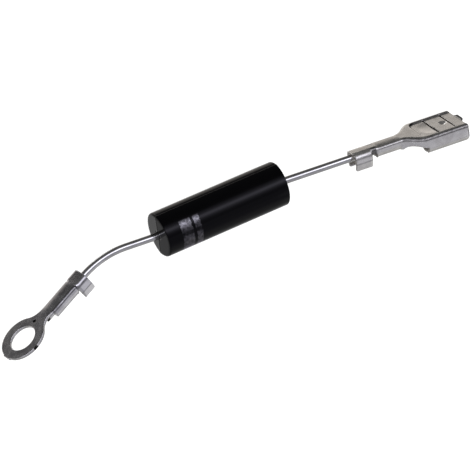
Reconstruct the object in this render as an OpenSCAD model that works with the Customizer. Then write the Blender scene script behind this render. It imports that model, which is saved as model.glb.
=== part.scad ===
// High-voltage rectifier diode: a moulded body with two formed leads, a ring terminal crimped
// to the cathode lead and a push-on receptacle crimped to the anode lead. Millimetres.
// The diode lies on its side on z = 0. +X runs along the body from cathode to anode, +Z is up,
// and the flat backs of both terminals face +Y.

/* [Body] */
// Diameter of the moulded body
body_d = 7.5; // [6.5:0.1:10]
// Length of the moulded body
body_len = 22.6; // [16:0.1:32]
// Rounding of the body's two rims
rim_r = 0.3; // [0.1:0.05:0.6]
// Slope of each mould half at the end faces, in degrees
end_draft = 2; // [0.5:0.25:4]
// Height of the flash along the mould's parting line
flash_h = 0.04; // [0.02:0.01:0.1]
// Thickness of that flash
flash_t = 0.12; // [0.05:0.01:0.3]
// Turn of the parting plane about the body's axis, in degrees
parting_turn = 21; // [0:1:45]

/* [Junction stack] */
// Number of silicon chips in series
chip_count = 12; // [6:1:16]
// Side of a square chip
chip_side = 2; // [1.4:0.1:2.4]
// Thickness of a chip
chip_t = 0.28; // [0.2:0.02:0.4]
// Thickness of a solder layer
solder_t = 0.06; // [0.04:0.01:0.1]
// Thickness of the coating outside the chips' corners
coating_t = 0.5; // [0.2:0.05:0.8]
// Diameter of the nail head on each lead's inner end
head_d = 2.9; // [2:0.1:3.4]
// Thickness of the nail head
head_t = 0.7; // [0.4:0.1:1.2]

/* [Leads] */
// Diameter of both leads
lead_d = 1.2; // [0.8:0.05:1.5]
// Straight run of a lead outside the body before its first slight bend
exit_run = 0.5; // [0.3:0.1:3]
// Angle of that bend, to opposite sides at the two ends, in degrees
exit_bend = 4.5; // [3:0.5:12]
// Radius of that bend, at the lead's centre line
exit_bend_r = 8; // [4:0.5:20]
// Straight run of the cathode lead from there to its main bend
cathode_run = 4.7; // [2:0.1:15]
// Angle of the cathode lead's main bend, in degrees
cathode_bend = 31.5; // [20:0.5:60]
// Radius of the main bend
cathode_bend_r = 15.3; // [4:0.1:25]
// Straight run of the anode lead from its slight bend to the receptacle
anode_reach = 12; // [4:0.1:25]
// How much a bend draws the lead thinner, on its radius
bend_thin = 0.004; // [0.003:0.001:0.008]
// Length of lead that stands out past a wire crimp
lead_stub = 1.6; // [0.2:0.1:2]

/* [Crimps] */
// Gap left between a crimp and the lead it grips
crimp_gap = 0.01; // [0.005:0.005:0.03]
// Extra thickness beside the lead where a wire crimp's wing is squeezed
crimp_fold = 0.3; // [0.15:0.05:0.4]
// Room beside the lead in an open rear crimp
rear_room = 0.6; // [0.2:0.05:0.8]
// Room beside the lead in the low channel between the crimps
join_room = 0.1; // [0.05:0.01:0.12]
// How far that channel's walls reach below the lead's axis
join_drop = 0.2; // [0:0.05:0.5]
// Rounding of the crimps' shoulders
shoulder_r = 0.7; // [0.45:0.05:0.75]
// Inward lean of a rear crimp's wings below their bend line, in degrees
wing_lean = 14; // [2:1:20]
// Height of the wings below their bend line
wing_tip = 1.3; // [0.8:0.1:1.5]
// Slit where the two wings of a wire crimp meet
wing_seam = 0.06; // [0.03:0.01:0.15]
// Depth of the groove along that slit
seam_groove = 0.2; // [0.1:0.02:0.3]
// Width of the strip's tail behind a rear crimp
tail_w = 1.6; // [1.2:0.1:2]

/* [Ring terminal] */
// Sheet thickness of the ring terminal
ring_t = 0.5; // [0.4:0.05:0.8]
// Outside diameter of the ring
ring_d = 7.9; // [7.2:0.1:10]
// Diameter of the screw hole
ring_hole_d = 4.6; // [3.7:0.1:5.3]
// Length of the strip's tail behind its rear crimp
ring_tail = 0.05; // [0.05:0.05:0.6]
// Length of its rear crimp
ring_rear_len = 2.15; // [1.6:0.05:3]
// Space between its two crimps
ring_space = 0.2; // [0.1:0.05:1.5]
// Length of its wire crimp
ring_wire_len = 5.2; // [3:0.1:7]
// Length from the wire crimp to the middle of the hole
neck_len = 6.3; // [5.8:0.1:10]
// Width of the neck
neck_w = 2.3; // [1.6:0.1:2.6]
// Fillet between the neck and the ring
neck_fillet = 2.8; // [0.8:0.1:3.2]
// How far the rear crimp's wings reach below the lead
ring_wing_drop = 1.5; // [1.3:0.05:2]
// Distance of the pilot mark from the middle of the hole, along the terminal
mark_at = 3.3; // [3.05:0.05:4]
// Distance of the pilot mark from the terminal's middle line
mark_side = 0.5; // [0:0.05:0.7]
// Radius of the pilot mark
mark_r = 0.28; // [0.15:0.01:0.35]
// Depth of the pilot mark
mark_depth = 0.15; // [0.05:0.01:0.2]
// Width of the stub where the carrier strip was cut off
carrier_w = 1.6; // [0.8:0.1:2.4]
// Length of that stub past the ring
carrier_len = 0.06; // [0.04:0.01:0.5]
// Turn of the ring's flat back above the level, in degrees
ring_lean = 13.5; // [5:0.5:40]

/* [Receptacle] */
// Sheet thickness of the receptacle
sheet_t = 0.4; // [0.35:0.01:0.45]
// Outside width across the two rolls
rec_w = 7.5; // [7.2:0.1:8.5]
// Outside height of the rolls
rec_h = 3.2; // [3:0.05:3.4]
// Outside radius of a roll
roll_r = 1.3; // [1.1:0.05:1.4]
// Outside radius of the bend from the floor to a roll's side
floor_bend_r = 0.6; // [0.5:0.05:0.7]
// Room for the tab between the floor and the rolls' edges
tab_gap = 0.84; // [0.8:0.01:0.9]
// Length of the rolls
roll_len = 7.7; // [7:0.1:10]
// Rounding of the rolls' corners, seen from the side
roll_corner = 0.25; // [0.1:0.05:0.6]
// Length of the strip's tail behind its rear crimp
rec_tail = 0.3; // [0.05:0.05:0.8]
// Length of its rear crimp
rec_rear_len = 3; // [1.8:0.1:3.5]
// Space between its two crimps
rec_space = 1.2; // [0.5:0.1:2.5]
// Length of its wire crimp
rec_wire_len = 4.3; // [3:0.1:6]
// Length of the throat from the wire crimp to the rolls
throat_len = 3.9; // [3.7:0.1:5]
// Length over which the throat widens
flare_len = 3.5; // [2:0.1:3.7]
// How far the throat's walls reach below the lead
wall_drop = 0.5; // [0.1:0.05:0.7]
// Radius of the arch cut into those walls
arch_r = 3.2; // [1.8:0.1:4]
// How far the rear crimp's wings reach below the lead
rec_wing_drop = 1.45; // [1.3:0.05:1.8]
// Width of the sunk panel along the middle of the floor
panel_w = 5.6; // [5:0.1:5.8]
// Depth of that panel
panel_depth = 0.25; // [0.1:0.05:0.35]
// Width of the step at the panel's edge
panel_step = 0.15; // [0.1:0.01:0.2]
// Rounding of the panel's rear corners
panel_corner = 1.2; // [0.6:0.1:2]
// How far the panel starts before the rolls
panel_lead = 0.3; // [0:0.05:0.6]
// Length from the rolls' start to the tab stop's sheared edge
stop_at = 2.5; // [2.2:0.1:3.2]
// Half width of the pressed tab stop
stop_r = 2.2; // [1.6:0.1:2.5]
// Depth of the tab stop's edge below the panel
stop_depth = 0.3; // [0.2:0.05:0.5]
// Width of the sheared slots across the panel
slot_w = 0.25; // [0.15:0.05:0.5]
// Length of the spring strip between the slots
spring_len = 2.9; // [2.4:0.1:3.4]
// Distance of the locking dimple's middle from the front slot
dimple_back = 0.85; // [0.8:0.05:1.4]
// Radius of the locking dimple
dimple_r = 0.7; // [0.5:0.05:0.75]
// Depth of the locking dimple
dimple_depth = 0.28; // [0.15:0.01:0.35]
// Width of the lead-in tongue at the front
tongue_w = 2.6; // [2:0.1:3.5]
// Length of the lead-in tongue
tongue_len = 0.5; // [0.3:0.1:0.9]
// Turn of the receptacle's flat back above the level, in degrees
rec_lean = 16; // [5:1:40]

/* [Hidden] */
$fn = 96;
cut = 0.5; // overshoot of a cutting shape
lap = 0.1; // how far joined shapes reach into each other
slice = 0.01; // length of a section that a hull is drawn from
flare_steps = 3; // straight stretches along the widening throat
least_r = 0.05; // the smallest inside radius of a bend in the sheet
lead_r = lead_d / 2;
body_r = body_d / 2;
stack_len = chip_count * chip_t + (chip_count + 1) * solder_t;
coating_d = max(chip_side * sqrt(2), head_d) + 2 * coating_t;

// Heights in a terminal's own frame, from the lead's axis up to the flat back
base_z = lead_r + crimp_gap;
ring_top = base_z + ring_t;
rec_top = base_z + sheet_t;
function wire_crimp_w(t) = 2 * (base_z + t + crimp_fold);

// Places along a terminal, from its rear end
ring_wire_x = ring_tail + ring_rear_len + ring_space;
ring_wire_end = ring_wire_x + ring_wire_len;
ring_x = ring_wire_end + neck_len;
rec_wire_x = rec_tail + rec_rear_len + rec_space;
rec_wire_end = rec_wire_x + rec_wire_len;
roll_x = rec_wire_end + throat_len;
flare_x = roll_x - flare_len;
floor_end = roll_x + roll_len;
panel_x = roll_x - panel_lead;
stop_x = roll_x + stop_at;
front_slot_x = stop_x + slot_w + spring_len;
dimple_x = front_slot_x - dimple_back;
roll_y = rec_w / 2 - roll_r;
roll_z = rec_top - rec_h + roll_r;
panel_z = base_z - panel_depth;
panel_top = rec_top - panel_depth;

// Geometry of the formed leads

// A point turned about the X or the Z axis.
function turned_x(p, a) = [p.x, p.y * cos(a) - p.z * sin(a), p.y * sin(a) + p.z * cos(a)];
function turned_z(p, a) = [p.x * cos(a) - p.y * sin(a), p.x * sin(a) + p.y * cos(a), p.z];

// Bends of each lead outside the body: straight run, radius and angle, both below 0 towards -Y.
cathode_bends = [[exit_run, -exit_bend_r, -exit_bend], [cathode_run, cathode_bend_r, cathode_bend]];
anode_bends = [[exit_run, exit_bend_r, exit_bend]];

// A point carried back past the first count bends of a lead.
function past(p, bends, count) =
    count == 0 ? p
    : let (b = bends[count - 1], q = [b[0], b[1], 0] + turned_z(p - [0, b[1], 0], b[2]))
        past(q, bends, count - 1);

// A point in a terminal's own frame, carried to the frame of the lead's end of the body.
function seated(p, bends, reach, tilt, lean) =
    let (on_lead = turned_x(p, 90 - lean) + [reach, 0, 0])
        turned_x([body_len / 2, 0, 0] + past(on_lead, bends, len(bends)), tilt);
function at_ring(p, tilt) = seated(p, cathode_bends, 0, tilt, ring_lean);
function at_receptacle(p, tilt) = seated(p, anode_bends, anode_reach, tilt, rec_lean);

// The ring's middle, and its reach from there along one axis.
ring_mid = [ring_x, 0, (base_z + ring_top) / 2];
function ring_normal(tilt) = at_ring(ring_mid + [0, 0, 1], tilt) - at_ring(ring_mid, tilt);
function ring_reach(k, tilt) =
    let (n = ring_normal(tilt)[k]) ring_d / 2 * sqrt(1 - n * n) + ring_t / 2 * abs(n);

// The bends are turned about the body's axis, step by step, until ring and receptacle touch the
// surface that carries the body.
settle_steps = 12;
function ring_gap(tilt) = body_r + at_ring(ring_mid, tilt).z - ring_reach(2, tilt);
function ring_settled(tilt, steps) =
    steps == 0 ? tilt
    : ring_settled(tilt - ring_gap(tilt) / at_ring(ring_mid, tilt).y * 180 / PI, steps - 1);
function rec_gap(tilt) =
    body_r - roll_r
    + min([for (x = [roll_x, floor_end], s = [-1, 1]) at_receptacle([x, s * roll_y, roll_z], tilt).z]);
function rec_settled(tilt, steps) =
    steps == 0 ? tilt
    : let (reach = at_receptacle([floor_end, 0, 0], tilt).y)
        rec_settled(tilt - rec_gap(tilt) / reach * 180 / PI, steps - 1);
ring_tilt = ring_settled(0, settle_steps);
rec_tilt = rec_settled(0, settle_steps);

// The box that the diode fills on the surface: the middle of its underside is the origin.
ring_at = at_ring(ring_mid, ring_tilt);
tip_x = ring_x + ring_d / 2 + carrier_len;
tip_at = max([
    for (s = [-1, 1], z = [base_z, ring_top]) at_ring([tip_x, s * carrier_w / 2, z], ring_tilt).x
]);
tongue_at = max([
    for (z = [panel_z, panel_top])
        at_receptacle([floor_end + tongue_len, tongue_len - tongue_w / 2, z], rec_tilt).x
]);
box_x = [-max(tip_at, ring_at.x + ring_reach(0, ring_tilt)), tongue_at];
flash_y = (body_r + flash_h) * cos(parting_turn);
box_y = [-ring_at.y - ring_reach(1, ring_tilt), max(body_r, flash_y)];
box_mid = [(box_x[0] + box_x[1]) / 2, (box_y[0] + box_y[1]) / 2];

// Places of the sub-parts

module on_surface() {
    translate([-box_mid[0], -box_mid[1], body_r]) children();
}

module along_x() {
    rotate([0, 90, 0]) children();
}

// Each end of the body, with +X out of its face and +Y to the side that its lead bends to.
module cathode_side() {
    on_surface() rotate([0, 0, 180]) rotate([ring_tilt, 0, 0]) children();
}

module anode_side() {
    on_surface() mirror([0, 1, 0]) rotate([rec_tilt, 0, 0]) children();
}

// Along a straight run and round one bend of a lead.
module past_bend(bend) {
    translate([bend[0], bend[1], 0]) rotate([0, 0, bend[2]]) translate([0, -bend[1], 0]) children();
}

module ring_seat() {
    cathode_side() translate([body_len / 2, 0, 0])
        past_bend(cathode_bends[0]) past_bend(cathode_bends[1]) rotate([90 - ring_lean, 0, 0]) children();
}

module receptacle_seat() {
    anode_side() translate([body_len / 2, 0, 0]) past_bend(anode_bends[0])
        translate([anode_reach, 0, 0]) rotate([90 - rec_lean, 0, 0]) children();
}

// Moulded body

module body_round() {
    along_x() rotate_extrude() {
        translate([0, -body_len / 2]) square([body_r - rim_r, body_len]);
        translate([0, -body_len / 2 + rim_r]) square([body_r, body_len - 2 * rim_r]);
        for (end = [-1, 1])
            translate([body_r - rim_r, end * (body_len / 2 - rim_r)]) circle(rim_r);
    }
}

// The two mould halves slope away from the parting plane at each end.
module mould_halves() {
    slope = (body_r + cut) * tan(end_draft);
    linear_extrude(body_d + 2 * cut, center = true)
        polygon([
            for (end = [-1, 1], side = [-1, 0, 1])
                [end * (body_len / 2 - abs(side) * slope), -end * side * (body_r + cut)]
        ]);
}

// A thin plate in the parting plane, with the body's outline grown by the flash.
module flash() {
    r = rim_r + flash_h;
    size = [body_len + 2 * flash_h, body_d + 2 * flash_h];
    rotate([90, 0, 0]) linear_extrude(flash_t, center = true) {
        square([size.x - 2 * r, size.y], center = true);
        square([size.x, size.y - 2 * r], center = true);
        for (x = [-1, 1], y = [-1, 1])
            translate([x * (size.x / 2 - r), y * (size.y / 2 - r)]) circle(r);
    }
}

// A lead from its nail head on the stack out to a run past the end face.
module lead_inner(run) {
    along_x() translate([0, 0, stack_len / 2]) {
        cylinder(d = head_d, h = head_t);
        cylinder(d = lead_d, h = (body_len - stack_len) / 2 + run);
    }
}

module body() {
    color("#141416") on_surface() difference() {
        rotate([90 + parting_turn, 0, 0]) {
            intersection() {
                body_round();
                mould_halves();
            }
            flash();
        }
        for (end = [0, 180]) rotate([0, 0, end]) lead_inner(cut);
        along_x() cylinder(d = coating_d, h = stack_len, center = true);
    }
}

// Junction stack inside the body

// Children at the middle of each layer, counted from the cathode.
module layers(count, first) {
    pitch = chip_t + solder_t;
    for (i = [0 : count - 1])
        on_surface() translate([-stack_len / 2 + first + i * pitch, 0, 0]) children();
}

module silicon_chips() {
    color("#5a6070") layers(chip_count, solder_t + chip_t / 2)
        cube([chip_t, chip_side, chip_side], center = true);
}

module solder_layers() {
    color("#b8bcc0") layers(chip_count + 1, solder_t / 2)
        cube([solder_t, chip_side, chip_side], center = true);
}

module junction_coating() {
    color("#d8d2c0") on_surface() difference() {
        along_x() cylinder(d = coating_d, h = stack_len, center = true);
        cube([stack_len + cut, chip_side, chip_side], center = true);
    }
}

// Leads

module straight(len) {
    along_x() cylinder(d = lead_d, h = len);
}

// The round part of a bend, towards +Y or, where its angle is below 0, towards -Y.
module bend_arc(bend) {
    r = abs(bend[1]);
    lap_turn = lap / r * 180 / PI;
    sweep = abs(bend[2]) + 2 * lap_turn;
    mirror([0, bend[2] < 0 ? 1 : 0, 0]) translate([bend[0], r, 0]) rotate([0, 0, -90])
        rotate_extrude(angle = sweep, start = -lap_turn) translate([r, 0]) circle(lead_r - bend_thin);
}

module cathode_lead() {
    color("#c9cacc") cathode_side() {
        lead_inner(exit_run);
        translate([body_len / 2, 0, 0]) {
            bend_arc(cathode_bends[0]);
            past_bend(cathode_bends[0]) {
                straight(cathode_run);
                bend_arc(cathode_bends[1]);
                past_bend(cathode_bends[1]) straight(ring_wire_end + lead_stub);
            }
        }
    }
}

module anode_lead() {
    color("#c9cacc") anode_side() {
        lead_inner(exit_run);
        translate([body_len / 2, 0, 0]) {
            bend_arc(anode_bends[0]);
            past_bend(anode_bends[0]) straight(anode_reach + rec_wire_end + lead_stub);
        }
    }
}

// Crimps, drawn across the lead with their flat back upwards

module across(x, len) {
    translate([x, 0, 0]) rotate([90, 0, 90]) linear_extrude(len) children();
}

// A block of width w from z0 up to z1 with round upper corners.
module arched_block(w, z0, z1, r) {
    translate([-w / 2, z0]) square([w, z1 - r - z0]);
    translate([-w / 2 + r, z0]) square([w - 2 * r, z1 - z0]);
    for (side = [-1, 1])
        intersection() {
            translate([side * (w / 2 - r), z1 - r]) circle(r);
            translate([-w / 2, z0]) square([w, z1 - z0]);
        }
}

// A wire crimp: both wings are rolled under the lead and meet in a grooved seam.
module wire_crimp_section(t) {
    top = base_z + t;
    difference() {
        union() {
            arched_block(wire_crimp_w(t), 0, top, shoulder_r);
            mirror([0, 1]) arched_block(wire_crimp_w(t), 0, top, shoulder_r);
        }
        circle(base_z);
        translate([-wing_seam / 2, -top - cut]) square([wing_seam, top + cut]);
        translate([0, -top]) rotate(45) square(seam_groove * sqrt(2), center = true);
    }
}

// A rear crimp: an open channel whose wings lean in below their bend line.
module rear_crimp_section(t, wing_drop) {
    room = 2 * (lead_r + rear_room);
    bend_z = wing_tip - lead_r - wing_drop;
    inner_r = min(shoulder_r, room / 2 - rear_room / 2);
    difference() {
        arched_block(room + 2 * t, bend_z, base_z + t, inner_r + t);
        arched_block(room, bend_z - cut, base_z, inner_r);
    }
    lean = wing_tip * tan(wing_lean);
    for (side = [0, 1])
        mirror([side, 0]) translate([room / 2, bend_z])
            polygon([[0, t], [0, 0], [-lean, -wing_tip], [t - lean, -wing_tip], [t, 0], [t, t]]);
}

// The low channel between the crimps.
module join_section(t) {
    room = 2 * (base_z + join_room);
    inner_r = max(shoulder_r - t, least_r);
    difference() {
        arched_block(room + 2 * t, -join_drop, base_z + t, inner_r + t);
        arched_block(room, -join_drop - cut, base_z, inner_r);
    }
}

// A flat strip of sheet between two places along the lead.
module strip(x0, x1, w, t) {
    translate([x0, -w / 2, base_z]) cube([x1 - x0, w, t]);
}

// Both crimps of a terminal with the channel that joins them, and the tail behind the rear crimp.
module crimps(t, tail, rear_len, wing_drop, wire_x, wire_len) {
    rear_end = tail + rear_len;
    strip(0, tail + lap, tail_w, t);
    across(tail, rear_len) rear_crimp_section(t, wing_drop);
    across(rear_end - lap, wire_x - rear_end + 2 * lap) join_section(t);
    across(wire_x, wire_len) wire_crimp_section(t);
}

// A ball whose cap sinks depth below a surface at the point at, over the radius r, grown by some
// thickness.
module pressed(at, r, depth, grow) {
    ball_r = (r * r + depth * depth) / (2 * depth);
    translate(at + [0, 0, ball_r - depth]) sphere(ball_r + grow);
}

// Ring terminal

// The fill between the neck's edge and the ring, on the +Y side.
module neck_corner() {
    r = ring_d / 2;
    fillet_y = neck_w / 2 + neck_fillet;
    fillet_x = sqrt(pow(r + neck_fillet, 2) - pow(fillet_y, 2));
    difference() {
        polygon([
            [-fillet_x, 0], [-fillet_x, neck_w / 2],
            [-fillet_x, fillet_y] * r / (r + neck_fillet), [0, 0]
        ]);
        translate([-fillet_x, fillet_y]) circle(neck_fillet);
    }
}

module ring_outline() {
    translate([ring_wire_end - lap, -neck_w / 2]) square([neck_len, neck_w]);
    translate([ring_x, 0]) {
        circle(d = ring_d);
        neck_corner();
        mirror([0, 1]) neck_corner();
        translate([0, -carrier_w / 2]) square([ring_d / 2 + carrier_len, carrier_w]);
    }
}

module ring_terminal() {
    color("#a7a9ad") ring_seat() {
        crimps(ring_t, ring_tail, ring_rear_len, ring_wing_drop, ring_wire_x, ring_wire_len);
        difference() {
            translate([0, 0, base_z]) linear_extrude(ring_t) ring_outline();
            translate([ring_x, 0, base_z - cut]) cylinder(d = ring_hole_d, h = ring_t + 2 * cut);
            pressed([ring_x - mark_at, -mark_side, ring_top], mark_r, mark_depth, 0);
        }
    }
}

// Receptacle for a flat push-on tab

// One side of the rolled section, grown inwards by inset from its outside.
module roll_block(inset) {
    bend_at = [rec_w / 2 - floor_bend_r, rec_top - floor_bend_r];
    translate([roll_y, roll_z]) circle(roll_r - inset);
    translate([roll_y, roll_z]) square([roll_r - inset, bend_at[1] - roll_z]);
    translate([roll_y, bend_at[1]]) square([bend_at[0] - roll_y, floor_bend_r - inset]);
    translate(bend_at) circle(floor_bend_r - inset);
}

// The floor with a roll along each side that turns back to hold the tab.
module rolled_section() {
    translate([-roll_y, base_z]) square([2 * roll_y, sheet_t]);
    for (side = [0, 1])
        mirror([side, 0]) difference() {
            roll_block(0);
            roll_block(sheet_t);
            translate([roll_y - roll_r, panel_z - tab_gap]) square([roll_r, rec_h]);
        }
}

// Side view of the rolls: all corners are round but the one that meets the throat.
module roll_side() {
    r = roll_corner;
    low = rec_top - rec_h;
    for (at = [[roll_x + r, low + r], [floor_end - r, low + r], [floor_end - r, rec_top - r]])
        translate(at) circle(r);
    translate([roll_x + r, low]) square([roll_len - 2 * r, rec_h]);
    translate([roll_x, low + r]) square([r, rec_h - r]);
    translate([floor_end - r, low + r]) square([r, rec_h - 2 * r]);
}

module rolls() {
    intersection() {
        across(roll_x, roll_len) rolled_section();
        rotate([90, 0, 0]) linear_extrude(rec_w + cut, center = true) roll_side();
    }
    strip(roll_x, floor_end, 2 * roll_y, sheet_t);
}

// The lead-in tongue at the front, narrower at its end and level with the sunk panel.
module tongue() {
    half = tongue_w / 2;
    tip = half - tongue_len;
    translate([floor_end, 0, panel_z]) linear_extrude(sheet_t)
        polygon([
            [-cut, -half], [0, -half], [tongue_len, -tip], [tongue_len, tip], [0, half], [-cut, half]
        ]);
}

// Section of the throat a part u of the way along its flare, drawn in by inset.
module throat_section(u, inset, low) {
    eased = u * u * (3 - 2 * u);
    w = wire_crimp_w(sheet_t) * (1 - eased) + rec_w * eased;
    r = shoulder_r * (1 - eased) + floor_bend_r * eased;
    arched_block(w - 2 * inset, low, rec_top - inset, r - inset);
}

// The throat as it widens from the wire crimp to the rolls.
module throat_flare(inset, low) {
    for (i = [0 : flare_steps - 1])
        hull()
            for (k = [i, i + 1])
                across(flare_x + k / flare_steps * flare_len, slice)
                    throat_section(k / flare_steps, inset, low);
}

// The throat's shell, open below, with an arch cut into its side walls.
module throat() {
    low = max(-lead_r - wall_drop, roll_z);
    neck = throat_len - flare_len;
    difference() {
        union() {
            throat_flare(0, low, $fn = 32);
            across(rec_wire_end - lap, neck + 2 * lap) throat_section(0, slice, low);
        }
        throat_flare(sheet_t, low - cut, $fn = 32);
        across(rec_wire_end - cut, neck + 2 * cut) throat_section(0, sheet_t, low - cut);
        translate([rec_wire_end + throat_len / 2, 0, -wall_drop - arch_r])
            rotate([90, 0, 0]) cylinder(r = arch_r, h = rec_w + cut, center = true);
    }
}

// Outline of the sunk panel, with round corners at the rear, grown by some width.
module panel_outline(grow, front) {
    r = panel_corner + grow;
    half = panel_w / 2 + grow;
    rear = panel_x - grow;
    translate([rear + r, -half]) square([front - rear - r, 2 * half]);
    translate([rear, r - half]) square([r + lap, 2 * half - 2 * r]);
    for (side = [-1, 1])
        translate([rear + r, side * (half - r)]) circle(r);
}

// The underside of a pressed place in the panel, kept between two places along it.
module pressed_under(x, r, depth, x0, x1) {
    low = panel_z - depth - sheet_t;
    intersection() {
        pressed([x, 0, panel_top], r, depth, sheet_t);
        translate([x0, -rec_w / 2, low]) cube([x1 - x0, rec_w, panel_z + sheet_t / 2 - low]);
    }
}

// What is pressed and sheared out of the panel: its sunk top, dimple, tab stop and two slots.
module panel_cuts() {
    translate([0, 0, panel_top]) linear_extrude(rec_h) panel_outline(0, floor_end + tongue_len + cut);
    pressed([dimple_x, 0, panel_top], dimple_r, dimple_depth, 0);
    intersection() {
        pressed([stop_x, 0, panel_top], stop_r, stop_depth, 0);
        translate([roll_x, -rec_w / 2, -rec_h]) cube([stop_at, rec_w, 2 * rec_h]);
    }
    for (x = [stop_x, front_slot_x])
        translate([x, -panel_w / 2, panel_z - cut]) cube([slot_w, panel_w, sheet_t + 2 * cut]);
}

module receptacle_terminal() {
    color("#b4b3b0") receptacle_seat() {
        crimps(sheet_t, rec_tail, rec_rear_len, rec_wing_drop, rec_wire_x, rec_wire_len);
        difference() {
            union() {
                throat();
                rolls();
                tongue();
                translate([0, 0, panel_z]) linear_extrude(sheet_t) panel_outline(panel_step, floor_end);
                pressed_under(dimple_x, dimple_r, dimple_depth, stop_x + slot_w, front_slot_x);
                pressed_under(stop_x, stop_r, stop_depth, roll_x, stop_x);
            }
            panel_cuts();
        }
    }
}

body();
cathode_lead();
anode_lead();
silicon_chips();
solder_layers();
junction_coating();
ring_terminal();
receptacle_terminal();
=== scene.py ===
"""A high-voltage diode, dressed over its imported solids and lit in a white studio.

The moulded body, both leads and both sheet-metal terminals are rebuilt as fine meshes in the frame
of the solids. Sizes are in millimetres and become metres when a mesh is made.
"""
import logging
import math
from dataclasses import dataclass, field
from enum import Enum
from typing import Sequence

import bmesh
import bpy
import numpy as np
from mathutils import Matrix, Vector
from mathutils.geometry import delaunay_2d_cdt


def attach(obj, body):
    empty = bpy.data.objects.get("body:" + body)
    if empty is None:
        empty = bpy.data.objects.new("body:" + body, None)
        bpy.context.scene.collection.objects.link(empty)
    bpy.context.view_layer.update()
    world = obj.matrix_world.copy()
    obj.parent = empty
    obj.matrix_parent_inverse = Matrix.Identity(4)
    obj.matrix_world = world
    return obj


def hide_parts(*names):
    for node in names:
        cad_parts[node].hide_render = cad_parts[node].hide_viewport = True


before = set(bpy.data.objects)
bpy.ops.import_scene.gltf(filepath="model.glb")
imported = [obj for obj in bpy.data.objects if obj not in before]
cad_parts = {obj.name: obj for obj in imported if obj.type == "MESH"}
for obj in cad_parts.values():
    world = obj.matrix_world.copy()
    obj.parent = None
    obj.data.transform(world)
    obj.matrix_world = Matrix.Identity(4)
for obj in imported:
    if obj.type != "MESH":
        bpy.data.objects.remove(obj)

MM = 0.001
RIGHT_ANGLE = math.pi / 2
BODY_NAME = "root"
LOG = logging.getLogger("diode")

# Millimetres and radians below which points meet, are merged, or a corner counts as straight
TINY = 1e-6
MERGE = 1e-7
STRAIGHT = 0.02

# A round corner takes at most this share of the edges beside it, in at least so many steps
CORNER_SHARE = 0.45
CORNER_STEPS = 3

# A sharp corner of an outline is inset by at most twice the depth
LEAST_LEAN = 0.5

# Points that are measured at once, to save memory
AT_ONCE = 500

# Sockets of a mix node, which has a set for each kind of data
COLOUR_INPUTS = (6, 7)
COLOUR_OUTPUT = 2
NUMBER_INPUTS = (2, 3)

Array = np.ndarray
Loop = np.ndarray
Socket = bpy.types.NodeSocket
Triple = tuple[float, float, float]
Pair = tuple[float, float]
Section = Sequence[Pair]


class Side(Enum):
    """The two ends of the diode."""

    CATHODE = "cathode"
    ANODE = "anode"


class Ease(Enum):
    """How a node carries a value between the ends of a span."""

    SMOOTH = "SMOOTHSTEP"
    LINEAR = "LINEAR"


def smooth(x: Array, start: float, end: float) -> Array:
    """Ease from 0 at start to 1 at end."""
    s = np.clip((x - start) / (end - start), 0.0, 1.0)
    return s * s * (3.0 - 2.0 * s)


def fade(x: Array, start: float, end: float) -> Array:
    """Ease from 1 at start to 0 at end."""
    return 1.0 - smooth(x, start, end)


@dataclass(frozen=True)
class PaintedShade:
    """Painted shade on a sheet, a dark line or patch that stands in for shade and dark reflections: its
    strength, and the two distances between which it fades or grows.
    """

    share: float
    core: float
    rim: float

    def near(self, off: Array) -> Array:
        """Painted shade of a mark that fades with the distance from its middle."""
        return self.share * fade(off, self.core, self.rim)

    def past(self, off: Array) -> Array:
        """Painted shade of a mark that grows with the distance."""
        return self.share * smooth(off, self.core, self.rim)


def turn(s: Array, start: Array, length: Array, angle: float) -> Array:
    """Angle that a sheet has turned through, at distances from its middle line, along one bend."""
    return angle * np.clip((s - start) / length, 0.0, 1.0)


def folded(s: Array, section: Section) -> Array:
    """Angle of a sheet that is bent in steps across its width.

    Args:
        s: Distances across the sheet from its middle line.
        section: Length of each step, and the angle in degrees that it turns through.

    Returns:
        The angle at each distance.
    """
    total, start = np.zeros_like(s), 0.0
    for length, angle in section:
        if angle:
            total = total + turn(s, start, length, math.radians(angle))
        start += length
    return total


def width(section: Section) -> float:
    """Half width of the blank that a section is folded from."""
    return sum(length for length, _ in section)


def nearest(points: Array, others: Array) -> Array:
    """Distance from each point to the nearest of some others.

    Args:
        points: Places on the blank.
        others: Places to measure to.

    Returns:
        One distance for each point.
    """
    parts = np.array_split(points, max(1, len(points) // AT_ONCE))
    gaps = [np.linalg.norm(part[:, None, :] - others[None, :, :], axis=2).min(axis=1) for part in parts]
    return np.concatenate(gaps)


def mesh_object(
    name: str, points: Array, faces: Sequence[Sequence[int]], seat: Matrix
) -> bpy.types.Object:
    """Make a smooth mesh piece with its place in its vertices.

    Args:
        name: Name of the piece.
        points: Vertices in millimetres, in the piece's own frame.
        faces: Vertex numbers of each face.
        seat: Carries the piece's own frame to the part's frame, in millimetres.

    Returns:
        The linked object, at the origin.
    """
    m = np.array(seat)
    placed = (points @ m[:3, :3].T + m[:3, 3]) * MM
    mesh = bpy.data.meshes.new(name)
    mesh.from_pydata(placed.tolist(), [], [tuple(f) for f in faces])
    mesh.polygons.foreach_set("use_smooth", [True] * len(mesh.polygons))
    mesh.update()
    piece = bpy.data.objects.new(name, mesh)
    bpy.context.scene.collection.objects.link(piece)
    return piece


def add_attribute(mesh: bpy.types.Mesh, name: str, values: Array) -> None:
    """Store a number or a vector on each vertex.

    Args:
        mesh: Mesh that gets the attribute.
        name: Name that a material reads it by.
        values: One number or one row of three for each vertex.
    """
    vector = values.ndim == 2
    layer = mesh.attributes.new(name, "FLOAT_VECTOR" if vector else "FLOAT", "POINT")
    layer.data.foreach_set("vector" if vector else "value", values.astype(np.float32).ravel())


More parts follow.
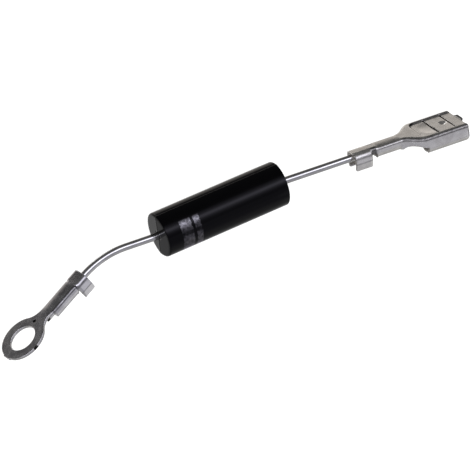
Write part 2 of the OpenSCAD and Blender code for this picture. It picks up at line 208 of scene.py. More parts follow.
@dataclass(frozen=True)
class Bend:
    """A straight run of lead and the bend that ends it, signed by the side it turns to."""

    run: float
    radius: float
    angle: float

    def matrix(self) -> Matrix:
        """Carries the frame past the bend back to the frame before it.

        Returns:
            The frame's matrix.
        """
        centre = Matrix.Translation((self.run, self.radius, 0))
        turned = Matrix.Rotation(math.radians(self.angle), 4, "Z")
        return centre @ turned @ Matrix.Translation((0, -self.radius, 0))

    def points(self, steps: int) -> Array:
        """Centre line round the bend.

        Args:
            steps: Number of points.

        Returns:
            Points in the frame before the bend.
        """
        turned = np.radians(np.linspace(0.0, self.angle, steps))
        x = self.run + self.radius * np.sin(turned)
        y = self.radius * (1.0 - np.cos(turned))
        return np.stack([x, y, np.zeros_like(x)], axis=1)


@dataclass(frozen=True)
class Pose:
    """Where body, leads and terminals lie in the part's frame."""

    body_d: float = 7.5
    body_len: float = 22.6
    box_middle: Pair = (1.75425, -2.62297)
    cathode_tilt: float = -0.478198
    anode_tilt: float = 3.86732
    cathode_bends: tuple[Bend, ...] = (Bend(0.5, -8.0, -4.5), Bend(4.7, 15.3, 31.5))
    anode_bends: tuple[Bend, ...] = (Bend(0.5, 8.0, 4.5),)
    anode_reach: float = 12.0
    ring_lean: float = 13.5
    receptacle_lean: float = 16.0

    def body(self) -> Matrix:
        """Frame of the body, with its middle at the origin and X along its axis."""
        return Matrix.Translation((-self.box_middle[0], -self.box_middle[1], self.body_d / 2))

    def end(self, side: Side) -> Matrix:
        """Frame of one end face, with X out of the face and Y to the side that its lead bends to.

        Args:
            side: Which end.

        Returns:
            The frame, mirrored at the anode.
        """
        face = Matrix.Translation((self.body_len / 2, 0, 0))
        if side is Side.CATHODE:
            turned = Matrix.Rotation(math.pi, 4, "Z")
            return self.body() @ turned @ Matrix.Rotation(math.radians(self.cathode_tilt), 4, "X") @ face
        flipped = Matrix.Diagonal((1, -1, 1, 1))
        return self.body() @ flipped @ Matrix.Rotation(math.radians(self.anode_tilt), 4, "X") @ face

    def bends(self, side: Side) -> tuple[Bend, ...]:
        """Bends of the lead at one end."""
        return self.cathode_bends if side is Side.CATHODE else self.anode_bends

    def terminal(self, side: Side) -> Matrix:
        """Frame of a terminal: X along its lead to its tip, Z out of its flat back.

        Args:
            side: Which end.

        Returns:
            A frame without a mirror, because both terminals are alike on both sides.
        """
        seat = self.end(side)
        for bend in self.bends(side):
            seat = seat @ bend.matrix()
        if side is Side.CATHODE:
            return seat @ Matrix.Rotation(math.radians(90 - self.ring_lean), 4, "X")
        seat = seat @ Matrix.Translation((self.anode_reach, 0, 0))
        lean = Matrix.Rotation(math.radians(90 - self.receptacle_lean), 4, "X")
        return seat @ lean @ Matrix.Diagonal((1, -1, 1, 1))


@dataclass(frozen=True)
class Cloud:
    """A cloudy pattern: its fineness, its finer layers, and the span of it that is carried to two ends."""

    scale: float
    detail: float = 3.0
    rough: float = 0.55
    span: Pair | None = None
    ends: Pair = (0.0, 1.0)


class Nodes:
    """A node tree under construction, with short calls for the nodes that finishes and lights share."""

    def __init__(self, tree: bpy.types.NodeTree) -> None:
        """Start with an empty tree."""
        self.tree = tree
        self.tree.nodes.clear()

    def make(self, kind: str, **settings: object) -> bpy.types.Node:
        """Add a node.

        Args:
            kind: Name of the node's type.
            settings: Values of the node's own options.

        Returns:
            The node.
        """
        node = self.tree.nodes.new(kind)
        for name, value in settings.items():
            setattr(node, name, value)
        return node

    def link(self, source: Socket, target: Socket) -> None:
        """Join two sockets."""
        self.tree.links.new(source, target)

    def feed(self, target: Socket, value: object) -> None:
        """Link a socket, or set a plain value.

        Args:
            target: Input socket.
            value: Another node's socket, a number or a tuple.
        """
        if isinstance(value, Socket):
            self.link(value, target)
        elif isinstance(value, tuple) and target.type == "RGBA":
            target.default_value = (*value, 1.0)
        else:
            target.default_value = value

    def fill(self, node: bpy.types.Node, values: dict[str, object]) -> None:
        """Feed several inputs of a node, by their names."""
        for name, value in values.items():
            self.feed(node.inputs[name], value)

    def place(self) -> Socket:
        """Object coordinates, in metres."""
        return self.make("ShaderNodeTexCoord").outputs["Object"]

    def split(self, vector: Socket) -> bpy.types.NodeOutputs:
        """Take a vector apart.

        Args:
            vector: Vector to take apart.

        Returns:
            The outputs X, Y and Z.
        """
        node = self.make("ShaderNodeSeparateXYZ")
        self.link(vector, node.inputs[0])
        return node.outputs

    def attribute(self, name: str, output: str) -> Socket:
        """A vertex attribute, by its output "Fac" for a number or "Vector" for a vector."""
        return self.make("ShaderNodeAttribute", attribute_name=name).outputs[output]

    def mapped(self, vector: Socket, scale: Triple) -> Socket:
        """A pattern's coordinates, stretched.

        Args:
            vector: Coordinates to stretch.
            scale: Factor along each axis.

        Returns:
            The stretched coordinates.
        """
        node = self.make("ShaderNodeMapping")
        self.fill(node, {"Vector": vector, "Scale": scale})
        return node.outputs["Vector"]

    def cloud(self, vector: Socket, pattern: Cloud) -> Socket:
        """A cloudy pattern.

        Args:
            vector: Coordinates of the pattern.
            pattern: Its settings.

        Returns:
            The noise from 0 to 1, or what its span is carried to.
        """
        node = self.make("ShaderNodeTexNoise")
        settings = {"Scale": pattern.scale, "Detail": pattern.detail, "Roughness": pattern.rough}
        self.fill(node, {"Vector": vector, **settings})
        value = node.outputs["Fac"]
        return self.span(value, *pattern.span, *pattern.ends) if pattern.span else value

    def span(
        self, value: Socket, low: float, high: float, start: float, end: float,
        ease: Ease = Ease.SMOOTH,
    ) -> Socket:
        """A value carried from one span to another.

        Args:
            value: Number to carry.
            low: Start of its span.
            high: End of its span.
            start: Result at the start.
            end: Result at the end.
            ease: How it is carried.

        Returns:
            The carried value.
        """
        node = self.make("ShaderNodeMapRange", interpolation_type=ease.value)
        self.fill(node, {"Value": value, "From Min": low, "From Max": high, "To Min": start, "To Max": end})
        return node.outputs["Result"]

    def sum(self, operation: str, first: object, second: object) -> Socket:
        """One step of arithmetic.

        Args:
            operation: Name of the step, such as "MULTIPLY".
            first: Socket or number.
            second: Socket or number.

        Returns:
            The result.
        """
        node = self.make("ShaderNodeMath", operation=operation)
        self.feed(node.inputs[0], first)
        self.feed(node.inputs[1], second)
        return node.outputs[0]

    def mix(self, share: object, first: object, second: object) -> Socket:
        """Two colours mixed.

        Args:
            share: Part of the second colour, from 0 to 1.
            first: Socket or colour.
            second: Socket or colour.

        Returns:
            The mixed colour.
        """
        node = self.make("ShaderNodeMix", data_type="RGBA")
        self.feed(node.inputs["Factor"], share)
        for number, value in zip(COLOUR_INPUTS, (first, second)):
            self.feed(node.inputs[number], value)
        return node.outputs[COLOUR_OUTPUT]


class Shader(Nodes):
    """A material under construction."""

    def __init__(self, name: str) -> None:
        """Start a material with one principled shader.

        Args:
            name: Name of the material.
        """
        self.material = bpy.data.materials.new(name)
        self.material.use_nodes = True
        super().__init__(self.material.node_tree)
        output = self.make("ShaderNodeOutputMaterial")
        self.main = self.make("ShaderNodeBsdfPrincipled")
        self.link(self.main.outputs[0], output.inputs["Surface"])

    def complete(self, **values: object) -> bpy.types.Material:
        """The material, with inputs of its shader fed by their names, an underscore for each space."""
        self.fill(self.main, {name.replace("_", " "): value for name, value in values.items()})
        return self.material

    def bump(self, height: Socket, depth: float, strength: float = 1.0) -> None:
        """Raise the surface by a height pattern.

        Args:
            height: Pattern from 0 to 1.
            depth: Height of the pattern in metres.
            strength: Share of the pattern that shows.
        """
        node = self.make("ShaderNodeBump")
        self.fill(node, {"Strength": strength, "Distance": depth, "Height": height})
        self.link(node.outputs["Normal"], self.main.inputs["Normal"])


@dataclass(frozen=True)
class EpoxyFinish:
    """Glossy black epoxy with two worn silver bands, printed round its cathode end but for a gap, and
    thinned along a narrow line round the body.
    """

    face_x: float
    axis_y: float
    radius: float
    gap_turn: float = 11.4
    gap_half: float = 49.2
    thin_turn: float = 97.0
    bands: tuple[Pair, ...] = ((2.7, 4.69), (5.22, 6.24))
    base: Triple = (0.0005, 0.0005, 0.0007)
    ink: Triple = (0.13, 0.126, 0.138)
    faded: Triple = (0.05, 0.049, 0.053)
    gloss: float = 0.11
    sheen: Triple = (0.95, 0.93, 1.0)
    ragged: Cloud = Cloud(2600.0, 2.0, span=(0.3, 0.7), ends=(-0.06 * MM, 0.06 * MM))
    wear: Cloud = Cloud(2600.0, 4.0, 0.6, (0.36, 0.5), (0.6, 1.0))
    mottle: Cloud = Cloud(2200.0, 4.0, 0.65, (0.35, 0.65))
    polish: Cloud = Cloud(260.0, 4.0, span=(0.3, 0.75), ends=(0.1, 0.16))
    skin: Cloud = Cloud(1500.0, 2.0)
    soft: float = 0.05
    gap_soft: float = 0.06
    thin_span: Pair = (0.2, 0.6)
    thin_left: float = 0.25
    skin_share: float = 0.3
    skin_depth: float = 0.000012
    skin_show: float = 0.5
    ink_metal: float = 0.12
    ink_rough: float = 0.06

    def band_mask(self, shader: Shader) -> Socket:
        """Where the ink of the bands lies.

        Args:
            shader: Material that gets the nodes.

        Returns:
            1 on the ink and 0 on bare epoxy.
        """
        place = shader.place()
        parts = shader.split(place)
        ragged = shader.cloud(place, self.ragged)
        along = shader.sum("ADD", parts["X"], ragged)
        total: object = 0.0
        for start, end in self.bands:
            rises, falls = (
                shader.span(along, (at - self.soft) * MM, (at + self.soft) * MM, *ends)
                for at, ends in ((self.face_x + start, (0.0, 1.0)), (self.face_x + end, (1.0, 0.0)))
            )
            total = shader.sum("ADD", total, shader.sum("MULTIPLY", rises, falls))
        across = shader.sum("SUBTRACT", parts["Y"], self.axis_y * MM)
        above = shader.sum("SUBTRACT", parts["Z"], self.radius * MM)
        sides: list[Socket] = []
        # Beyond a gap the ink is cut off, and along a narrow line round the body it is thinned
        for turned in (math.radians(self.gap_turn), math.radians(self.thin_turn + 90.0)):
            part = shader.sum("MULTIPLY", across, math.cos(turned))
            part = shader.sum("ADD", part, shader.sum("MULTIPLY", above, math.sin(turned)))
            sides.append(shader.sum("ADD", part, ragged))
        edge = self.radius * math.cos(math.radians(self.gap_half))
        printed = shader.span(sides[0], (edge - self.gap_soft) * MM, (edge + self.gap_soft) * MM, 1.0, 0.0)
        core, rim = (k * MM for k in self.thin_span)
        thinned = shader.span(shader.sum("ABSOLUTE", sides[1], 0.0), core, rim, self.thin_left, 1.0)
        return shader.sum("MULTIPLY", shader.sum("MULTIPLY", total, printed), thinned)

    def material(self) -> bpy.types.Material:
        """Build the finish.

        Returns:
            The material.
        """
        shader = Shader("black_epoxy")
        place = shader.place()
        mask = self.band_mask(shader)
        ink = shader.sum("MULTIPLY", mask, shader.cloud(place, self.wear))
        silver = shader.mix(shader.cloud(place, self.mottle), self.faded, self.ink)
        clean = shader.cloud(place, self.polish)
        skin = shader.sum("MULTIPLY", shader.cloud(place, self.skin), self.skin_share)
        shader.bump(shader.sum("ADD", skin, ink), self.skin_depth, self.skin_show)
        return shader.complete(
            Base_Color=shader.mix(ink, self.base, silver),
            Metallic=shader.span(ink, 0.0, self.ink_metal, 0.0, 1.0),
            Roughness=shader.sum("ADD", clean, shader.sum("MULTIPLY", ink, self.ink_rough)),
            Specular_IOR_Level=self.gloss,
            Specular_Tint=self.sheen,
        )


@dataclass(frozen=True)
class TinnedFinish:
    """Bright tin over copper or brass, with drawing or rolling lines, smudges, edges in a colour of their
    own, and painted shade: dark lines and patches that stand in for shade and dark reflections.
    """

    name: str
    tin: Triple
    smudge: Triple
    edge: Triple
    rough: Cloud
    lines: Triple
    line_depth: float
    # Colour of the painted shade, which stands in for shade and dark reflections in bends, creases and
    # recesses; streaky patches break it up
    painted_shade: Triple = (0.016, 0.015, 0.015)
    streaks: Triple = (1.6, 5.0, 1.0)
    smudges: Cloud = Cloud(420.0, 5.0, 0.62, (0.42, 0.66))
    grain: Cloud = Cloud(1.0, 4.0, 0.6)
    patches: Cloud = Cloud(1.0, 4.0, span=(0.3, 0.62), ends=(1.0, 0.82))
    line_show: float = 0.6
    painted_shade_rough: float = 0.1

    def material(self) -> bpy.types.Material:
        """Build the finish.

        Returns:
            The material.
        """
        shader = Shader(self.name)
        place = shader.place()
        blank = shader.attribute("blank", "Vector")
        edge = shader.attribute("edge", "Fac")
        grain = shader.cloud(shader.mapped(blank, self.lines), self.grain)
        tone = shader.mix(shader.cloud(place, self.smudges), self.tin, self.smudge)
        tone = shader.mix(edge, tone, self.edge)
        patches = shader.cloud(shader.mapped(blank, self.streaks), self.patches)
        # Painted shade read from the mesh, broken up by streaky patches: it darkens the tin and makes it a
        # little rougher
        painted_shade = shader.sum("MULTIPLY", shader.attribute("painted_shade", "Fac"), patches)
        worn = shader.cloud(place, self.rough)
        shader.bump(grain, self.line_depth, self.line_show)
        return shader.complete(
            Base_Color=shader.mix(painted_shade, tone, self.painted_shade),
            Metallic=1.0,
            Roughness=shader.sum("ADD", worn, shader.sum("MULTIPLY", painted_shade, self.painted_shade_rough)),
        )


@dataclass(frozen=True)
class InnerFinish:
    """Finish of a piece that the body hides: its own colour with a fine cloud in it."""

    name: str
    light: Triple
    dark: Triple
    rough: float
    metallic: float = 0.0
    cloud: Cloud = Cloud(2000.0)
    cloud_depth: float = 0.00001
    cloud_show: float = 0.4

    def material(self) -> bpy.types.Material:
        """Build the finish.

        Returns:
            The material.
        """
        shader = Shader(self.name)
        cloud = shader.cloud(shader.place(), self.cloud)
        shader.bump(cloud, self.cloud_depth, self.cloud_show)
        tone = shader.mix(cloud, self.dark, self.light)
        return shader.complete(Base_Color=tone, Roughness=self.rough, Metallic=self.metallic)


@dataclass
class MouldedBody:
    """The moulded epoxy body, with its draft, rounded rims and the line where the mould parts."""

    pose: Pose
    rim_r: float = 0.3
    draft: float = 2.0
    flash_h: float = 0.04
    flash_t: float = 0.12
    parting_turn: float = 21.0
    turn_step: float = 2.5
    flash_steps: int = 17
    flash_span: Pair = (2.0, 2.2)
    face_rings: int = 9
    rim_rings: int = 9
    side_rings: int = 10
    lead_r: float = 0.6
    socket_depth: float = 1.0
    socket_hole: float = 0.02
    side_short: float = 2.0
    trim: float = 0.003
    name: str = "moulded_body"

    @property
    def outer(self) -> float:
        """Radius of the side, a hair less than the solid's so that the mesh stays inside its box."""
        return self.pose.body_d / 2 - self.trim

    def angles(self) -> Array:
        """Angles round the axis, closer together beside the parting line.

        Returns:
            The angles in degrees, in order.
        """
        wide = math.degrees(self.flash_t / self.pose.body_d * 2)
        reach, clear = (k * wide for k in self.flash_span)
        even = np.arange(0.0, 360.0, self.turn_step)
        fine = np.linspace(-reach, reach, self.flash_steps)
        near = even % 180.0
        keep = (near > clear) & (near < 180.0 - clear)
        return np.sort(np.concatenate([even[keep], fine % 360.0, fine + 180.0]))

    def flash(self, off: Array) -> Array:
        """Height of the flash at a distance from the parting plane."""
        return self.flash_h * np.exp(-np.square(off / (self.flash_t / 2)))

    def ring(self, sign: int, radius: float, back: float, angle: Array, ridge: float) -> Array:
        """One closed ring of points.

        Args:
            sign: -1 at the cathode face, 1 at the anode face.
            radius: Distance from the axis.
            back: Distance behind the end face.
            angle: Angles from the parting plane, in radians.
            ridge: Share of the flash that stands out sideways, the rest along the axis.

        Returns:
            The ring's points.
        """
        off = radius * np.sin(angle)
        fall = np.abs(off) * math.tan(math.radians(self.draft))
        lip = self.flash(off)
        x = sign * (self.pose.body_len / 2 - back - fall + (1.0 - ridge) * lip)
        wide = radius + ridge * lip
        turned = angle + math.radians(self.parting_turn)
        return np.stack([x, wide * np.cos(turned), wide * np.sin(turned)], axis=1)

    def half(self, sign: int, angle: Array) -> list[Array]:
        """Rings from the bottom of a lead's socket out to the body's side.

        Args:
            sign: -1 at the cathode face, 1 at the anode face.
            angle: Angles from the parting plane, in radians.

        Returns:
            The rings, from the inside out.
        """
        flat = self.outer - self.rim_r
        rings = [self.ring(sign, r, self.socket_depth, angle, 1.0) for r in (self.socket_hole, self.lead_r)]
        face = np.linspace(self.lead_r, flat, self.face_rings)
        rings += [self.ring(sign, r, 0.0, angle, 0.0) for r in face]
        for a in np.linspace(0.0, RIGHT_ANGLE, self.rim_rings)[1:]:
            radius = flat + self.rim_r * math.sin(a)
            rings.append(self.ring(sign, radius, self.rim_r * (1.0 - math.cos(a)), angle, math.sin(a)))
        return rings

    def build(self) -> bpy.types.Object:
        """Make the body's mesh.

        Returns:
            The piece.
        """
        angle = np.radians(self.angles())
        rings = self.half(-1, angle)
        count = len(angle)
        shares = np.linspace(-0.5, 0.5, self.side_rings + 2)[1:-1]
        side = shares * (self.pose.body_len - self.side_short)
        wide = self.outer + self.flash(self.outer * np.sin(angle))
        turned = angle + math.radians(self.parting_turn)
        for x in side:
            place = [np.full(count, x), wide * np.cos(turned), wide * np.sin(turned)]
            rings.append(np.stack(place, axis=1))
        rings += self.half(1, angle)[::-1]
        points = np.concatenate(rings)
        faces: list[list[int]] = [list(range(count))]
        for i in range(len(rings) - 1):
            for j in range(count):
                k = (j + 1) % count
                faces.append([i * count + k, i * count + j, (i + 1) * count + j, (i + 1) * count + k])
        last = (len(rings) - 1) * count
        faces.append([last + j for j in range(count)][::-1])
        return mesh_object(self.name, points, [f[::-1] for f in faces], self.pose.body())

    def dress(self, piece: bpy.types.Object) -> None:
        """Give the body its finish and its place in the part.

        Args:
            piece: The body's piece.
        """
        face_x = -self.pose.body_len / 2 - self.pose.box_middle[0]
        finish = EpoxyFinish(face_x, -self.pose.box_middle[1], self.pose.body_d / 2)
        piece.data.materials.append(finish.material())
        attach(piece, BODY_NAME)
        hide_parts("body")


@dataclass
class FormedLead:
    """A drawn lead with a nail head inside the body, swept along its bent centre line."""

    pose: Pose
    side: Side
    reach: float
    lead_r: float = 0.6
    head_r: float = 1.45
    head_t: float = 0.7
    stack_len: float = 4.14
    sides: int = 40
    step: float = 0.25
    chamfer: float = 0.08
    head_edge: float = 0.01
    inner_end: float = -2.0
    bend_steps: int = 8

    def path(self) -> tuple[Array, Array]:
        """Centre line from the nail head to the cut end, and the radius at each point.

        Returns:
            Points in the part's frame and their radii.
        """
        inner = -(self.pose.body_len - self.stack_len) / 2
        head = inner + self.head_t
        stations = [
            (inner, self.head_r), (head, self.head_r), (head + self.head_edge, self.lead_r),
            (self.inner_end, self.lead_r),
        ]
        points = [[x, 0.0, 0.0] for x, _ in stations]
        radii = [r for _, r in stations]
        seat = Matrix.Identity(4)
        for bend in self.pose.bends(self.side):
            steps = int(abs(bend.radius * math.radians(bend.angle)) / self.step) + 1
            steps = max(self.bend_steps, steps)
            for p in bend.points(steps):
                points.append(list(seat @ Vector(p)))
                radii.append(self.lead_r)
            seat = seat @ bend.matrix()
        last = self.reach - self.chamfer
        run = [(x, self.lead_r) for x in np.arange(self.step, last, self.step)]
        for x, r in [*run, (last, self.lead_r), (self.reach, self.lead_r - self.chamfer)]:
            points.append(list(seat @ Vector((x, 0, 0))))
            radii.append(r)
        m = np.array(self.pose.end(self.side))
        return np.array(points) @ m[:3, :3].T + m[:3, 3], np.array(radii)

    def sweep_tree(self, material: bpy.types.Material) -> bpy.types.NodeTree:
        """Node tree that sweeps a round section along a curve.

        Args:
            material: Finish of the lead.

        Returns:
            The tree, with the section's radius and sides as named inputs.
        """
        tree = bpy.data.node_groups.new(f"{self.side.value}_lead_sweep", "GeometryNodeTree")
        for name, way, kind in (
            ("Geometry", "INPUT", "NodeSocketGeometry"), ("Section radius", "INPUT", "NodeSocketFloat"),
            ("Section sides", "INPUT", "NodeSocketInt"), ("Geometry", "OUTPUT", "NodeSocketGeometry"),
        ):
            tree.interface.new_socket(name, in_out=way, socket_type=kind)
        nodes = Nodes(tree)
        entry, leave = nodes.make("NodeGroupInput"), nodes.make("NodeGroupOutput")
        section = nodes.make("GeometryNodeCurvePrimitiveCircle")
        sweep = nodes.make("GeometryNodeCurveToMesh")
        soft = nodes.make("GeometryNodeSetShadeSmooth")
        real = nodes.make("GeometryNodeRealizeInstances")
        paint = nodes.make("GeometryNodeSetMaterial")
        given = entry.outputs
        nodes.fill(section, {"Radius": given["Section radius"], "Resolution": given["Section sides"]})
        nodes.fill(sweep, {
            "Curve": given["Geometry"], "Profile Curve": section.outputs["Curve"], "Fill Caps": True,
        })
        if "Scale" in sweep.inputs:
            nodes.link(nodes.make("GeometryNodeInputRadius").outputs[0], sweep.inputs["Scale"])
        nodes.link(sweep.outputs["Mesh"], soft.inputs["Geometry"])
        for before, after in ((soft, real), (real, paint), (paint, leave)):
            nodes.link(before.outputs["Geometry"], after.inputs["Geometry"])
        paint.inputs["Material"].default_value = material
        return tree

    def build(self, material: bpy.types.Material) -> bpy.types.Object:
        """Sweep the lead and turn it into a plain mesh.

        Args:
            material: Finish of the lead.

        Returns:
            The piece.
        """
        points, radii = self.path()
        name = f"{self.side.value}_lead_wire"
        curve = bpy.data.curves.new(name, "CURVE")
        curve.dimensions = "3D"
        spline = curve.splines.new("POLY")
        spline.points.add(len(points) - 1)
        places = np.column_stack([points * MM, np.ones(len(points))])
        spline.points.foreach_set("co", places.astype(np.float32).ravel())
        spline.points.foreach_set("radius", (radii / self.lead_r).astype(np.float32))
        guide = bpy.data.objects.new(name + "_guide", curve)
        bpy.context.scene.collection.objects.link(guide)
        tree = self.sweep_tree(material)
        sweep = guide.modifiers.new("sweep", "NODES")
        sweep.node_group = tree
        items = tree.interface.items_tree
        numbers = {item.name: item.identifier for item in items if item.in_out == "INPUT"}
        sweep[numbers["Section radius"]] = self.lead_r * MM
        sweep[numbers["Section sides"]] = self.sides
        mesh = bpy.data.meshes.new_from_object(guide.evaluated_get(bpy.context.evaluated_depsgraph_get()))
        bpy.data.objects.remove(guide)
        piece = bpy.data.objects.new(name, mesh)
        bpy.context.scene.collection.objects.link(piece)
        self.mark(mesh, points)
        return piece

    def mark(self, mesh: bpy.types.Mesh, points: Array) -> None:
        """Store each vertex's place along and round the lead.

        Args:
            mesh: The swept mesh, in rings along the path.
            points: The path's points.
        """
        count = len(mesh.vertices)
        order = np.arange(count)
        along = np.concatenate([[0.0], np.cumsum(np.linalg.norm(np.diff(points, axis=0), axis=1))])
        row = np.minimum(order // self.sides, len(along) - 1)
        angle = (order % self.sides) / self.sides * math.tau
        blank = np.stack([along[row], np.cos(angle) * self.lead_r, np.sin(angle) * self.lead_r], axis=1)
        add_attribute(mesh, "blank", blank)
        # The last two steps of the lead take the finish's edge colour, which is near black on the lead
        add_attribute(mesh, "edge", (along[row] > along[-1] - 2 * self.step).astype(float))

    def dress(self, piece: bpy.types.Object) -> None:
        """Give the lead its place in the part.

        Args:
            piece: The lead's piece.
        """
        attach(piece, BODY_NAME)
        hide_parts(f"{self.side.value}_lead")


def rounded(corners: Sequence[Triple], step: float) -> Loop:
    """A closed outline with round corners, in short steps.

    Args:
        corners: Corner points as x, v and the radius there.
        step: Longest step along the outline.

    Returns:
        The outline's points.
    """
    out: list[Array] = []
    count = len(corners)
    for i in range(count):
        before, here, after = (np.array(corners[(i + k) % count][:2]) for k in (-1, 0, 1))
        radius = corners[i][2]
        a, b = before - here, after - here
        la, lb = np.linalg.norm(a), np.linalg.norm(b)
        a, b = a / la, b / lb
        half = math.acos(float(np.clip(a @ b, -1.0, 1.0))) / 2
        if radius <= 0 or half > RIGHT_ANGLE - STRAIGHT:
            out.append(here)
            continue
        back = min(radius / math.tan(half), CORNER_SHARE * la, CORNER_SHARE * lb)
        arc = back * math.tan(half)
        middle = here + (a + b) / np.linalg.norm(a + b) * arc / math.sin(half)
        first, last = here + a * back - middle, here + b * back - middle
        t0 = math.atan2(first[1], first[0])
        swing = (math.atan2(last[1], last[0]) - t0 + math.pi) % math.tau - math.pi
        steps = max(CORNER_STEPS, int(abs(swing) * arc / step) + 1)
        for t in np.linspace(t0, t0 + swing, steps + 1):
            out.append(middle + arc * np.array([math.cos(t), math.sin(t)]))
    return stepped(np.array(out), step)


def stepped(loop: Loop, step: float) -> Loop:
    """A closed outline with its long edges divided.

    Args:
        loop: The outline's points.
        step: Longest step.

    Returns:
        The divided outline, without doubled points.
    """
    out: list[Array] = []
    for here, after in zip(loop, np.roll(loop, -1, axis=0)):
        gap = np.linalg.norm(after - here)
        if gap < TINY:
            continue
        parts = max(1, math.ceil(gap / step))
        out += [here + (after - here) * k / parts for k in range(parts)]
    return np.array(out)


def inset(loop: Loop, depth: float) -> Loop:
    """An outline moved into the sheet, which lies on its left.

    Args:
        loop: The outline's points.
        depth: Distance to move.

    Returns:
        The moved outline.
    """
    ahead = np.roll(loop, -1, axis=0) - loop
    ahead /= np.linalg.norm(ahead, axis=1, keepdims=True)
    left = np.stack([-ahead[:, 1], ahead[:, 0]], axis=1)
    both = left + np.roll(left, 1, axis=0)
    both /= np.linalg.norm(both, axis=1, keepdims=True)
    lean = np.clip(np.sum(both * left, axis=1), LEAST_LEAN, 1.0)
    return loop + both * (depth / lean)[:, None]


def inside(points: Array, loops: Sequence[Loop]) -> Array:
    """Which points lie on the sheet.

    Args:
        points: Places on the blank.
        loops: The blank's outline and its holes.

    Returns:
        True for each place inside an odd number of outlines.
    """
    found = np.zeros(len(points), bool)
    for loop in loops:
        after = np.roll(loop, -1, axis=0)
        for (x0, y0), (x1, y1) in zip(loop, after):
            crosses = (y0 > points[:, 1]) != (y1 > points[:, 1])
            if y0 != y1:
                found ^= crosses & (points[:, 0] < (x1 - x0) * (points[:, 1] - y0) / (y1 - y0) + x0)
    return found


